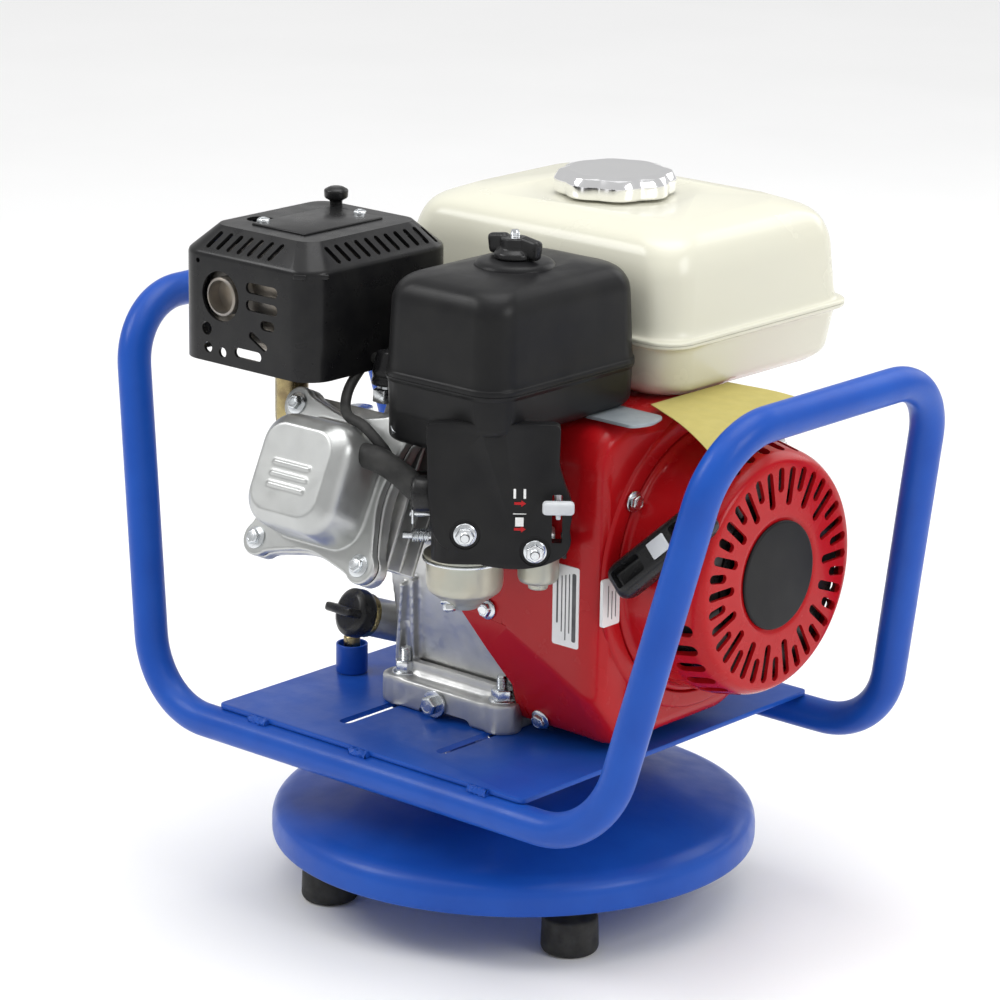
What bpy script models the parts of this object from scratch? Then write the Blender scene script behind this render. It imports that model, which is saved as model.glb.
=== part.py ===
"""Petrol power unit of a concrete vibrator: a small four-stroke engine on a swivelling tube frame.

Metres, +Z up. The origin lies on the floor, in the middle of the unit's bounding box. +X runs along
the crankshaft towards the recoil starter, -X towards the coupling for the flexible shaft, -Y towards
the cylinder head and +Y towards the back of the fuel tank.
"""

import math

import bmesh
import bpy
from mathutils import Matrix, Vector

# ---------------------------------------------------------------- driving dimensions
GAP = 0.0003  # left between pieces that touch

TUBE_R = 0.011  # frame tube, 22 mm outside
RAIL_Z = 0.112  # height of the rails' centre lines
RAIL_HALF_Y = 0.141  # half the spacing of the rails
CORNER_X = 0.1895  # where a rail's line meets its upright's line
HANDLE_RISE = 0.256
HANDLE_LEAN = 0.056  # outwards, from rail to top bar
HANDLE_TUCK = 0.035  # inwards, at each side
LOWER_BEND = 0.058
UPPER_BEND = 0.050
RAIL_SPLIT = 0.100  # half length of the straight rails

PLATE_HALF_X = 0.130
PLATE_HALF_Y = 0.142
PLATE_T = 0.0035
PLATE_BOTTOM = RAIL_Z + TUBE_R + GAP
PLATE_TOP = PLATE_BOTTOM + PLATE_T
ENGINE_Z = PLATE_TOP + GAP

DISH_R = 0.158
DISH_RIM_Z = 0.036
DISH_TOP_Z = 0.078
FOOT_R = 0.0185
FOOT_RING_R = 0.124
FIRST_FOOT_DEG = -32
PIVOT_R = 0.008
BEARING_TOP_Z = DISH_TOP_Z + 0.010

CRANK_Y = 0.029  # from the swivel axis
CRANK_Z = 0.243
BORE_X = -0.008
BORE_TILT = math.radians(25)
BORE_R = 0.034
CRANK_THROW = 0.0225
ROD_LENGTH = 0.084
SHAFT_R = 0.0125

CASE_X0, CASE_X1 = -0.058, 0.046
STUD_XS = (-0.046, 0.037)
STUD_YS = (-0.055, 0.107)
FOOT_TOP_Z = ENGINE_Z + 0.019  # of the crankcase's mounting foot
POST_XY = (-0.112, -0.036)
OIL_NECK_ROOT = (-0.0745, -0.014, 0.161)
OIL_NECK_AXIS = (-0.19, -0.92, 0.35)

HEAD_START, HEAD_END = 0.140, 0.1885  # distances from the crank axis along the bore
HEAD_X = -0.016
HEAD_DROP = -0.028  # the head's middle lies this far from the bore axis, square to it
COVER_TOP = 0.231
COVER_HALF = 0.030  # half width of the valve cover's flat top
EXHAUST_PORT = (-0.052, -0.120, 0.312)
PLUG_LEAN = 0.35  # radians, from square to the bore

TANK_X0, TANK_X1 = -0.108, 0.128
TANK_Y0, TANK_Y1 = -0.007, 0.177
TANK_SEAM_Z = 0.385
TANK_BOTTOM_Z = 0.346
TANK_TOP_Z = 0.449
CAP_X, CAP_Y = 0.003, 0.087
CAP_R = 0.0395

GUARD_X0, GUARD_X1 = -0.134, -0.022
GUARD_Y0, GUARD_Y1 = -0.168, -0.045
GUARD_Z0, GUARD_Z1 = 0.362, 0.446
OUTLET_X, OUTLET_Z = -0.106, 0.404

FILTER_X0, FILTER_X1 = 0.018, 0.109
FILTER_Y0, FILTER_Y1 = -0.146, -0.013
TRAY_Z0, TRAY_Z1 = 0.3465, 0.373
LID_TOP_Z = 0.432

FAN_X0, FAN_X1 = 0.047, 0.128
FAN_TOP_Z, FAN_LOW_Z = 0.343, 0.134
INTAKE_R = 0.072
RECOIL_X1 = 0.190
ROPE_TAIL = 0.148  # rope behind the grip's middle, at rest
COUPLING_X = -0.0843
COUPLING_LENGTH = 0.094
RECOIL_SLOTS = 14
FAN_BLADES = 10
THROTTLE_PIN = (0.075, -0.032, 0.3437)
GRIP_CENTRE = (0.165, -0.056, 0.273)
PULL_AXIS = (0.14, -0.93, 0.342)
GRIP_LINE = (0.42, 0.85, 0.31)  # roughly how the grip lies

# the row's origin is the middle of the box: valve cover at one side, tank at the other
VALVE_FRONT_Y = (
    CRANK_Y - COVER_TOP * math.cos(BORE_TILT) + (HEAD_DROP - COVER_HALF) * math.sin(BORE_TILT)
)
SWIVEL_Y = -(VALVE_FRONT_Y + TANK_Y1) / 2

# ---------------------------------------------------------------- looks: colour, roughness, metallic
BLUE = ((0.012, 0.075, 0.42), 0.35, 0.0)
RED = ((0.42, 0.008, 0.012), 0.22, 0.0)
IVORY = ((0.78, 0.75, 0.62), 0.25, 0.0)
BLACK = ((0.012, 0.012, 0.013), 0.3, 0.0)
RUBBER = ((0.015, 0.015, 0.015), 0.8, 0.0)
CAST = ((0.55, 0.56, 0.56), 0.42, 0.9)
STEEL = ((0.5, 0.5, 0.5), 0.35, 1.0)
CHROME = ((0.85, 0.85, 0.87), 0.08, 1.0)
BRASS = ((0.72, 0.5, 0.18), 0.3, 1.0)
GREY = ((0.42, 0.45, 0.44), 0.5, 0.0)
FOAM = ((0.05, 0.05, 0.05), 0.95, 0.0)
ROPE = ((0.6, 0.6, 0.58), 0.8, 0.0)

X_AXIS = Vector((1, 0, 0))
Z_AXIS = Vector((0, 0, 1))
ALONG_BORE = Vector((0, -math.cos(BORE_TILT), math.sin(BORE_TILT)))
ACROSS_BORE = Vector((0, math.sin(BORE_TILT), math.cos(BORE_TILT)))
CRANK_AXIS = (0.0, CRANK_Y, CRANK_Z)


def at(x, y, z):
    """A point given from the swivel axis, in the part's own frame."""
    return Vector((x, y + SWIVEL_Y, z))


def on_bore(distance, across=0.0, x=BORE_X):
    """A point this far from the crank axis along the bore."""
    return at(x, CRANK_Y, CRANK_Z) + ALONG_BORE * distance + ACROSS_BORE * across


def clear_scene():
    for old in list(bpy.data.objects):
        bpy.data.objects.remove(old, do_unlink=True)


# ---------------------------------------------------------------- modelling helpers
def finish(obj, look):
    colour, roughness, metallic = look
    material = bpy.data.materials.new(obj.name)
    material.use_nodes = True
    shader = material.node_tree.nodes["Principled BSDF"]
    shader.inputs["Base Color"].default_value = (*colour, 1.0)
    shader.inputs["Roughness"].default_value = roughness
    shader.inputs["Metallic"].default_value = metallic
    obj.data.materials.append(material)
    return obj


def make(name, bm, look, location=(0, 0, 0), turn=None, smooth=True):
    """Turns a bmesh into a named object with outward faces."""
    bmesh.ops.recalc_face_normals(bm, faces=bm.faces)
    mesh = bpy.data.meshes.new(name)
    bm.to_mesh(mesh)
    bm.free()
    obj = bpy.data.objects.new(name, mesh)
    bpy.context.scene.collection.objects.link(obj)
    obj.location = location
    if turn is not None:
        obj.rotation_euler = turn.to_euler()
    if smooth:
        mesh.shade_smooth()
        mesh.set_sharp_from_angle(angle=math.radians(35))
    return finish(obj, look)


def facing(direction, up=Z_AXIS):
    """The rotation that takes +Z to a direction, and +X as near to square with up as it can."""
    z = Vector(direction).normalized()
    x = Vector(up).cross(z)
    if x.length < 1e-6:
        x = Vector((1, 0, 0))
    x.normalize()
    return Matrix((x, z.cross(x), z)).transposed()


def lathe(name, profile, look, centre, axis=Z_AXIS, segments=24):
    """Turns (radius, height) points about an axis; the profile closes on itself or on the axis."""
    bm = bmesh.new()
    rings = []
    for radius, height in profile:
        if radius < 1e-6:
            rings.append([bm.verts.new((0, 0, height))])
            continue
        angles = [math.tau * k / segments for k in range(segments)]
        rings.append(
            [bm.verts.new((radius * math.cos(a), radius * math.sin(a), height)) for a in angles]
        )
    pairs = list(zip(rings, rings[1:]))
    if len(rings[0]) > 1:
        pairs.append((rings[-1], rings[0]))
    for low, high in pairs:
        for k in range(segments):
            corners = []
            for ring, step in ((low, 0), (low, 1), (high, 1), (high, 0)):
                vert = ring[(k + step) % len(ring)]
                if vert not in corners:
                    corners.append(vert)
            if len(corners) > 2:
                bm.faces.new(corners)
    return make(name, bm, look, centre, facing(axis))


def loft(name, rings, look, location=(0, 0, 0), turn=None):
    """Skins rings of equally many points, and caps both ends."""
    bm = bmesh.new()
    loops = [[bm.verts.new(p) for p in ring] for ring in rings]
    count = len(loops[0])
    for low, high in zip(loops, loops[1:]):
        for k in range(count):
            j = (k + 1) % count
            bm.faces.new((low[k], low[j], high[j], high[k]))
    bm.faces.new(loops[0])
    bm.faces.new(loops[-1])
    return make(name, bm, look, location, turn)


def rounded(width, depth, radius, height=0.0, steps=3, shift=(0.0, 0.0)):
    """A rounded rectangle about a centre, as points at one height."""
    points = []
    for sx, sy, start in ((1, 1, 0), (-1, 1, 90), (-1, -1, 180), (1, -1, 270)):
        cx = shift[0] + sx * (width / 2 - radius)
        cy = shift[1] + sy * (depth / 2 - radius)
        for k in range(steps + 1):
            a = math.radians(start + 90 * k / steps)
            points.append((cx + radius * math.cos(a), cy + radius * math.sin(a), height))
    return points


def box_rings(x0, x1, y0, y1, levels, steps=3):
    """Rounded rectangles inside an X and Y range: levels holds (height, inset, corner radius)."""
    shift = ((x0 + x1) / 2, (y0 + y1) / 2)
    return [
        rounded(x1 - x0 - 2 * inset, y1 - y0 - 2 * inset, radius, z, steps, shift)
        for z, inset, radius in levels
    ]


def lift(points, height):
    return [(p[0], p[1], height) for p in points]


def plate(name, outline, z0, z1, look, location=(0, 0, 0), turn=None):
    """A flat slab with a given outline."""
    return loft(name, [lift(outline, z0), lift(outline, z1)], look, location, turn)


def rod_x(name, radius, x0, x1, look, y=CRANK_Y, z=CRANK_Z, segments=24):
    """A plain cylinder along X."""
    profile = [(0, 0), (radius, 0), (radius, x1 - x0), (0, x1 - x0)]
    return lathe(name, profile, look, at(x0, y, z), X_AXIS, segments)


def block(name, size, centre, look, turn=None, bevel=0.0):
    """A box with chamfered edges."""
    bm = bmesh.new()
    bmesh.ops.create_cube(bm, size=1.0)
    bmesh.ops.scale(bm, vec=size, verts=bm.verts)
    if bevel:
        bmesh.ops.bevel(bm, geom=bm.edges, offset=bevel, segments=1, affect="EDGES")
    return make(name, bm, look, centre, turn)


def bend_path(corners, radii, steps=5):
    """A polyline whose inner corners are arcs of the given radii."""
    corners = [Vector(c) for c in corners]
    path = [corners[0]]
    for before, corner, after, radius in zip(corners, corners[1:], corners[2:], radii):
        arrive = (corner - before).normalized()
        leave = (after - corner).normalized()
        half = arrive.angle(leave) / 2
        reach = radius * math.tan(half)
        inward = (leave - arrive).normalized()
        centre = corner + inward * radius / math.cos(half)
        first = corner - arrive * reach - centre
        axis = arrive.cross(leave)
        for k in range(steps + 1):
            path.append(centre + Matrix.Rotation(2 * half * k / steps, 3, axis) @ first)
    path.append(corners[-1])
    return path


def smooth_path(knots, count):
    """Points along a smooth curve through the knots."""
    knots = [Vector(k) for k in knots]
    ends = [2 * knots[0] - knots[1]] + knots + [2 * knots[-1] - knots[-2]]
    points = []
    for k in range(count):
        t = k * (len(knots) - 1) / (count - 1)
        i = min(int(t), len(knots) - 2)
        t -= i
        a, b, c, d = ends[i : i + 4]
        square = (2 * a - 5 * b + 4 * c - d) * t**2
        cube = (3 * (b - c) + d - a) * t**3
        points.append(0.5 * (2 * b + (c - a) * t + square + cube))
    return points


def tube(name, path, radius, look, resolution=4):
    """A round bar along a polyline, with flat ends."""
    curve = bpy.data.curves.new(name, "CURVE")
    curve.dimensions = "3D"
    curve.bevel_depth = radius
    curve.bevel_resolution = resolution
    curve.use_fill_caps = True
    spline = curve.splines.new("POLY")
    spline.points.add(len(path) - 1)
    for point, place in zip(spline.points, path):
        point.co = (*place, 1.0)
    obj = bpy.data.objects.new(name, curve)
    bpy.context.scene.collection.objects.link(obj)
    return finish(obj, look)


def combine(obj, other, operation):
    """Joins or cuts obj with another shape, which is then only a guide."""
    other.hide_render = True
    other.display_type = "WIRE"
    step = obj.modifiers.new(operation.lower(), "BOOLEAN")
    step.operation = operation
    step.solver = "EXACT"
    step.object = other
    return obj


def cut(obj, *others):
    for other in others:
        combine(obj, other, "DIFFERENCE")
    return obj


def fuse(obj, *others):
    for other in others:
        combine(obj, other, "UNION")
    return obj


def hexagon(across, height=0.0):
    r = across / math.sqrt(3)
    return [(r * math.cos(math.tau * k / 6), r * math.sin(math.tau * k / 6), height) for k in range(6)]


# ---------------------------------------------------------------- swivel base
def swivel_base():
    wall = 0.003
    top = DISH_TOP_Z
    outer = [
        (DISH_R, DISH_RIM_Z),
        (DISH_R, DISH_RIM_Z + 0.013),
        (DISH_R - 0.003, DISH_RIM_Z + 0.019),
        (DISH_R - 0.011, DISH_RIM_Z + 0.0235),
        (0.100, top - 0.0085),
        (0.050, top - 0.001),
        (0.040, top),
    ]
    inner = [(max(r - wall, 0.040), z - wall) for r, z in reversed(outer[1:])]
    profile = outer + [(PIVOT_R + GAP, top), (PIVOT_R + GAP, top - wall)]
    profile += inner + [(DISH_R - wall, DISH_RIM_Z)]
    lathe("base_dish", profile, BLUE, at(0, 0, 0), segments=32)
    for k in range(4):
        a = math.radians(FIRST_FOOT_DEG + 90 * k)
        under = 0.0615  # the dish's underside over the foot
        foot = [(0, 0), (FOOT_R - 0.002, 0), (FOOT_R, 0.003), (FOOT_R - 0.001, 0.024)]
        foot += [(0.012, 0.027), (0.009, under - 0.006), (0, under - 0.006)]
        centre = at(FOOT_RING_R * math.cos(a), FOOT_RING_R * math.sin(a), 0)
        lathe(f"rubber_foot_{k + 1}", foot, RUBBER, centre, segments=16)
    bearing = [(0.020, top + GAP), (0.045, top + GAP), (0.045, BEARING_TOP_Z), (0.020, BEARING_TOP_Z)]
    lathe("swivel_bearing", bearing, STEEL, at(0, 0, 0), segments=24)
    under = top - wall - GAP
    bolt = [(0, under - 0.008), (0.014, under - 0.008), (0.014, under)]
    bolt += [(PIVOT_R, under), (PIVOT_R, 0.119), (0, 0.119)]
    lathe("pivot_bolt", bolt, STEEL, at(0, 0, 0), segments=16)


# ---------------------------------------------------------------- frame
def frame_tubes():
    for side, name in ((-1, "rail_head_side"), (1, "rail_tank_side")):
        y = side * RAIL_HALF_Y
        ends = [at(-RAIL_SPLIT, y, RAIL_Z), at(RAIL_SPLIT, y, RAIL_Z)]
        tube(name, ends, TUBE_R, BLUE)
    for end, name in ((1, "handle_starter_end"), (-1, "handle_coupling_end")):
        top_y = RAIL_HALF_Y - HANDLE_TUCK
        top_x = end * (CORNER_X + HANDLE_LEAN)
        corners = [
            at(end * (RAIL_SPLIT + GAP), -RAIL_HALF_Y, RAIL_Z),
            at(end * CORNER_X, -RAIL_HALF_Y, RAIL_Z),
            at(top_x, -top_y, RAIL_Z + HANDLE_RISE),
            at(top_x, top_y, RAIL_Z + HANDLE_RISE),
            at(end * CORNER_X, RAIL_HALF_Y, RAIL_Z),
            at(end * (RAIL_SPLIT + GAP), RAIL_HALF_Y, RAIL_Z),
        ]
        radii = [LOWER_BEND, UPPER_BEND, UPPER_BEND, LOWER_BEND]
        tube(name, bend_path(corners, radii), TUBE_R, BLUE)


def mounting_deck():
    outline = rounded(2 * PLATE_HALF_X, 2 * PLATE_HALF_Y, 0.004, steps=1)
    deck = plate("mounting_plate", outline, PLATE_BOTTOM, PLATE_TOP, BLUE, at(0, 0, 0))
    for x in STUD_XS:
        for y, length in ((-0.076, 0.078), (0.088, 0.060)):
            slot = rounded(0.009, length, 0.0044, steps=2, shift=(x, y))
            cut(deck, plate("slot", slot, PLATE_BOTTOM - 0.01, PLATE_TOP + 0.01, BLUE, at(0, 0, 0)))
    low = BEARING_TOP_Z + GAP
    high = PLATE_BOTTOM - GAP
    hub = [
        (PIVOT_R + GAP, low), (0.045, low), (0.045, low + 0.006), (0.026, low + 0.009),
        (0.026, high - 0.005), (0.050, high - 0.004), (0.050, high), (0.018, high),
        (0.018, low + 0.016), (PIVOT_R + GAP, low + 0.016),
    ]
    lathe("swivel_hub", hub, BLUE, at(0, 0, 0), segments=16)
    nut_z = low + 0.016 + GAP
    nut = plate("pivot_nut", hexagon(0.022), nut_z, nut_z + 0.008, STEEL, at(0, 0, 0))
    bore = [(0, 0.08), (PIVOT_R + GAP, 0.08), (PIVOT_R + GAP, 0.13), (0, 0.13)]
    cut(nut, lathe("nut_bore", bore, STEEL, at(0, 0, 0), segments=16))
    post = [(0, 0), (0.0105, 0), (0.0105, 0.0195), (0.0055, 0.0195), (0.0055, 0.024), (0, 0.024)]
    lathe("support_post", post, BLUE, at(*POST_XY, ENGINE_Z), segments=16)
    low = PLATE_BOTTOM - 0.008 - GAP
    seat = PLATE_BOTTOM - GAP
    top = FOOT_TOP_Z + 0.016
    shank = [(0, low), (0.009, low), (0.009, seat), (0.004, seat), (0.004, top), (0, top)]
    for i, x in enumerate(STUD_XS):
        for j, y in enumerate(STUD_YS):
            centre = at(x, y, 0)
            bolt = lathe(f"mount_bolt_{2 * i + j + 1}", shank, STEEL, centre, segments=12)
            nut = plate("mount_nut", hexagon(0.013), FOOT_TOP_Z + GAP, FOOT_TOP_Z + 0.008, STEEL, centre)
            fuse(bolt, nut)


# ---------------------------------------------------------------- engine block
def crankcase():
    foot = rounded(CASE_X1 + 0.061, 0.186, 0.008, steps=2, shift=((CASE_X1 - 0.061) / 2, 0.026))
    case = plate("crankcase", foot, ENGINE_Z, FOOT_TOP_Z, CAST, at(0, 0, 0))
    section = [
        (-0.045, 0.144), (0.097, 0.144), (0.099, 0.290), (0.076, 0.322), (-0.015, 0.322),
        (-0.052, 0.285), (-0.058, 0.215),
    ]
    rings = [[(x, y, z) for y, z in section] for x in (CASE_X0, CASE_X1 - GAP)]
    walls = loft("case_walls", rings, CAST, at(0, 0, 0))
    end = HEAD_START - GAP
    barrel = [(0, 0.05), (0.041, 0.05), (0.041, end), (0, end)]
    fuse(case, walls, lathe("barrel", barrel, CAST, on_bore(0), ALONG_BORE, 20))
    for k in range(4):
        centre = on_bore(0.094 + 0.0125 * k)
        fuse(case, block("fin", (0.072, 0.086, 0.003), centre, CAST, facing(ALONG_BORE)))
    chamber = rod_x("chamber", 0.060, CASE_X0 - 0.01, CASE_X1 - 0.010, CAST, segments=24)
    bore = [(0, 0), (BORE_R, 0), (BORE_R, 0.16), (0, 0.16)]
    bore = lathe("bore", bore, CAST, on_bore(0), ALONG_BORE, 24)
    shaft_hole = rod_x("shaft_hole", SHAFT_R + 0.001, 0, 0.06, CAST, segments=20)
    cut(case, chamber, bore, shaft_hole)
    hole = [(0, 0.11), (0.0045, 0.11), (0.0045, 0.17), (0, 0.17)]
    for x in STUD_XS:
        for y in STUD_YS:
            cut(case, lathe("stud_hole", hole, CAST, at(x, y, 0), segments=12))
    drain = [(0, 0), (0.009, 0), (0.009, 0.002), (0.006, 0.0025), (0.006, 0.009), (0, 0.009)]
    lathe("oil_drain_plug", drain, STEEL, at(-0.009, -0.067 - GAP, 0.1365), (0, -1, 0), 12)


def side_cover():
    x = CASE_X0 - GAP
    hole = SHAFT_R + 0.001
    profile = [
        (hole, 0), (0.078, 0), (0.078, 0.010), (0.070, 0.016), (0.046, 0.022), (0.046, 0.026),
        (hole, 0.026),
    ]
    cover = lathe("side_cover", profile, CAST, at(x, CRANK_Y, CRANK_Z), (-1, 0, 0), 24)
    fuse(cover, block("pan", (0.020, 0.115, 0.060), at(x - 0.010, 0.0275, 0.1775), CAST, bevel=0.004))
    neck_dir = Vector(OIL_NECK_AXIS).normalized()
    root = at(*OIL_NECK_ROOT) - neck_dir * 0.012
    end = 0.058
    neck = lathe("neck", [(0, 0), (0.013, 0), (0.013, end), (0, end)], CAST, root, neck_dir, 16)
    fuse(cover, neck)
    cap_base = root + neck_dir * (end + GAP)
    cap = [(0, 0), (0.0155, 0), (0.0165, 0.003), (0.0160, 0.010), (0.012, 0.012), (0, 0.012)]
    knob = lathe("oil_filler_cap", cap, BLACK, cap_base, neck_dir, 20)
    tab_at = cap_base + neck_dir * 0.014
    fuse(knob, block("cap_tab", (0.026, 0.006, 0.014), tab_at, BLACK, facing(neck_dir)))


def cylinder_head():
    middle = (HEAD_START + HEAD_END) / 2
    size = (0.090, 0.080, HEAD_END - HEAD_START)
    turn = facing(ALONG_BORE, X_AXIS)
    head = block("cylinder_head", size, on_bore(middle, HEAD_DROP, HEAD_X), CAST, turn, 0.004)
    for k in range(3):
        centre = on_bore(HEAD_START + 0.010 + 0.013 * k, HEAD_DROP + 0.006, HEAD_X)
        fuse(head, block("fin", (0.100, 0.088, 0.003), centre, CAST, turn))
    port = [(0, 0), (0.014, 0), (0.014, 0.02), (0, 0.02)]
    fuse(head, lathe("port", port, CAST, at(*EXHAUST_PORT), (-1, 0, 0), 16))


def valve_cover():
    base = HEAD_END + GAP
    rings = []
    for height, width, radius in (
        (base, 0.100, 0.016), (base + 0.006, 0.100, 0.016), (base + 0.007, 0.076, 0.018),
        (COVER_TOP - 0.006, 0.068, 0.017), (COVER_TOP, 2 * COVER_HALF, 0.014),
    ):
        rings.append(rounded(width, width, radius, height))
    turn = facing(ALONG_BORE, X_AXIS)
    cover = loft("valve_cover", rings, CAST, on_bore(0, HEAD_DROP, HEAD_X), turn)
    inner = [rounded(0.066, 0.066, 0.012, base - 0.01), rounded(0.056, 0.056, 0.01, COVER_TOP - 0.004)]
    cut(cover, loft("cover_inside", inner, CAST, on_bore(0, HEAD_DROP, HEAD_X), turn))


def ignition():
    lean = ACROSS_BORE * math.cos(PLUG_LEAN) + ALONG_BORE * math.sin(PLUG_LEAN)
    seat = on_bore(0.172, HEAD_DROP + 0.0590, -0.010)
    plug = [(0, 0), (0.009, 0), (0.009, 0.009), (0.0055, 0.010), (0.0045, 0.024), (0, 0.024)]
    lathe("spark_plug", plug, STEEL, seat, lean, 12)
    cap = [
        (0.0062, 0.011), (0.010, 0.011), (0.010, 0.022), (0.007, 0.032), (0, 0.032), (0, 0.0245),
        (0.0062, 0.0245),
    ]
    lathe("plug_cap", cap, BLACK, seat, lean, 16)
    start = seat + lean * 0.026 + Vector((0.0103, 0, 0))
    knots = [
        start, start + Vector((0.006, 0, 0)), at(0.016, -0.100, 0.3425), at(0.032, -0.079, 0.3355),
        at(0.034, -0.060, 0.328), at(FAN_X0 - GAP, -0.058, 0.326),
    ]
    tube("ignition_lead", smooth_path(knots, 16), 0.0032, BLACK, 2)


def exhaust():
    port_x, port_y, port_z = EXHAUST_PORT
    pipe_x = port_x - 0.033
    corners = [
        at(port_x - 0.020 - GAP, port_y, port_z), at(pipe_x, port_y, port_z),
        at(pipe_x, port_y, 0.3717 - GAP),
    ]
    tube("exhaust_pipe", bend_path(corners, [0.012], 4), 0.0105, BRASS)
    inset = 0.008
    rings = box_rings(
        GUARD_X0 + inset, GUARD_X1 - inset, GUARD_Y0 + inset, GUARD_Y1 - inset,
        [(0.372, 0.004, 0.012), (0.376, 0, 0.016), (0.424, 0, 0.016), (0.430, 0.008, 0.012)],
    )
    muffler = loft("muffler", rings, STEEL, at(0, 0, 0))
    outlet = at(OUTLET_X, GUARD_Y0 + inset + 0.004, OUTLET_Z)
    pipe = [(0, 0), (0.0125, 0), (0.0125, 0.018), (0, 0.018)]
    bore = [(0, 0.006), (0.010, 0.006), (0.010, 0.03), (0, 0.03)]
    fuse(muffler, lathe("outlet", pipe, STEEL, outlet, (0, -1, 0), 16))
    cut(muffler, lathe("outlet_bore", bore, STEEL, outlet, (0, -1, 0), 16))
    guard_box = (GUARD_X0, GUARD_X1, GUARD_Y0, GUARD_Y1)
    levels = [(GUARD_Z0, 0, 0.016), (0.430, 0, 0.016), (GUARD_Z1, 0.016, 0.008)]
    guard = loft("muffler_guard", box_rings(*guard_box, levels), BLACK, at(0, 0, 0))
    t = 0.002
    levels = [(GUARD_Z0 - 0.01, t, 0.014), (0.4292, t, 0.014), (GUARD_Z1 - t, 0.0172, 0.007)]
    cut(guard, loft("guard_inside", box_rings(*guard_box, levels), BLACK, at(0, 0, 0)))
    window = [(0, -0.01), (0.0145, -0.01), (0.0145, 0.02), (0, 0.02)]
    cut(guard, lathe("window", window, BLACK, at(OUTLET_X, GUARD_Y0, OUTLET_Z), (0, -1, 0), 16))
    for k in range(4):
        slot = block("vent", (0.022, 0.02, 0.006), at(-0.076, GUARD_Y0, 0.384 + 0.011 * k), BLACK)
        cut(guard, slot)


# ---------------------------------------------------------------- fuel and air
CARB_TURN = math.radians(41)
CARB_OUT = Vector((math.sin(CARB_TURN), -math.cos(CARB_TURN), 0))
CARB_ALONG = Vector((math.cos(CARB_TURN), math.sin(CARB_TURN), 0))
ELBOW_FACE = (0.105, -0.138)
CARB_X, CARB_BACK, CARB_Z = -0.021, 0.0515, 0.262  # along the face, behind it, underside
CHOKE_PIN = (0.035, 0.026, 0.304)  # along the face, behind it, height
FUEL_PIN = (0.0395, 0.050, 0.270)


def by_elbow(along, back, z):
    """A point measured from the middle of the air elbow's face."""
    return at(*ELBOW_FACE, z) + CARB_ALONG * along - CARB_OUT * back


def carburettor():
    turn = Matrix.Rotation(CARB_TURN, 3, "Z")
    middle_z = CARB_Z + 0.018
    centre = by_elbow(CARB_X, CARB_BACK, middle_z)
    carb = block("carburettor", (0.040, 0.034, 0.036), centre, CAST, turn, 0.003)
    throat = [(0, 0), (0.015, 0), (0.015, 0.0042), (0, 0.0042)]
    throat = lathe("throat", throat, CAST, by_elbow(CARB_X, 0.038, middle_z), CARB_OUT, 16)
    arm_at = by_elbow(0.009, CARB_BACK, CARB_Z + 0.0075)
    arm = block("arm", (0.050, 0.018, 0.014), arm_at, CAST, turn, 0.001)
    fuse(carb, throat, arm)
    top = CARB_Z - GAP
    bowl = [
        (0, 0.226), (0.009, 0.226), (0.012, 0.230), (0.023, 0.237), (0.0245, 0.241), (0.0245, top),
        (0, top),
    ]
    lathe("float_bowl", bowl, GREY, by_elbow(CARB_X, CARB_BACK, 0), segments=20)
    cup = [
        (0, 0.239), (0.006, 0.239), (0.006, 0.243), (0.0115, 0.244), (0.0127, 0.247), (0.0127, top),
        (0, top),
    ]
    lathe("sediment_cup", cup, GREY, by_elbow(0.024, 0.050, 0), segments=16)


def lever_outline(length, width):
    """A bar from a round end at the origin along +X."""
    points = []
    for degrees in range(90, 271, 30):
        a = math.radians(degrees)
        points.append((width / 2 * math.cos(a), width / 2 * math.sin(a), 0))
    return points + [(length, -width / 2, 0), (length, width / 2, 0)]


def fuel_controls():
    """Two levers that swing up and down about pins along the carburettor's face."""
    turn = Matrix((CARB_OUT, Z_AXIS, CARB_OUT.cross(Z_AXIS))).transposed()
    choke = by_elbow(*CHOKE_PIN)
    lever = plate("choke_lever", lever_outline(0.040, 0.007), -0.0015, 0.0015, GREY, choke, turn)
    tab = block("choke_tab", (0.005, 0.007, 0.018), choke + CARB_OUT * 0.0395, GREY, turn, 0.001)
    fuse(lever, tab)
    plate("fuel_lever", lever_outline(0.030, 0.008), -0.0015, 0.0015, BLACK, by_elbow(*FUEL_PIN), turn)


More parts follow.
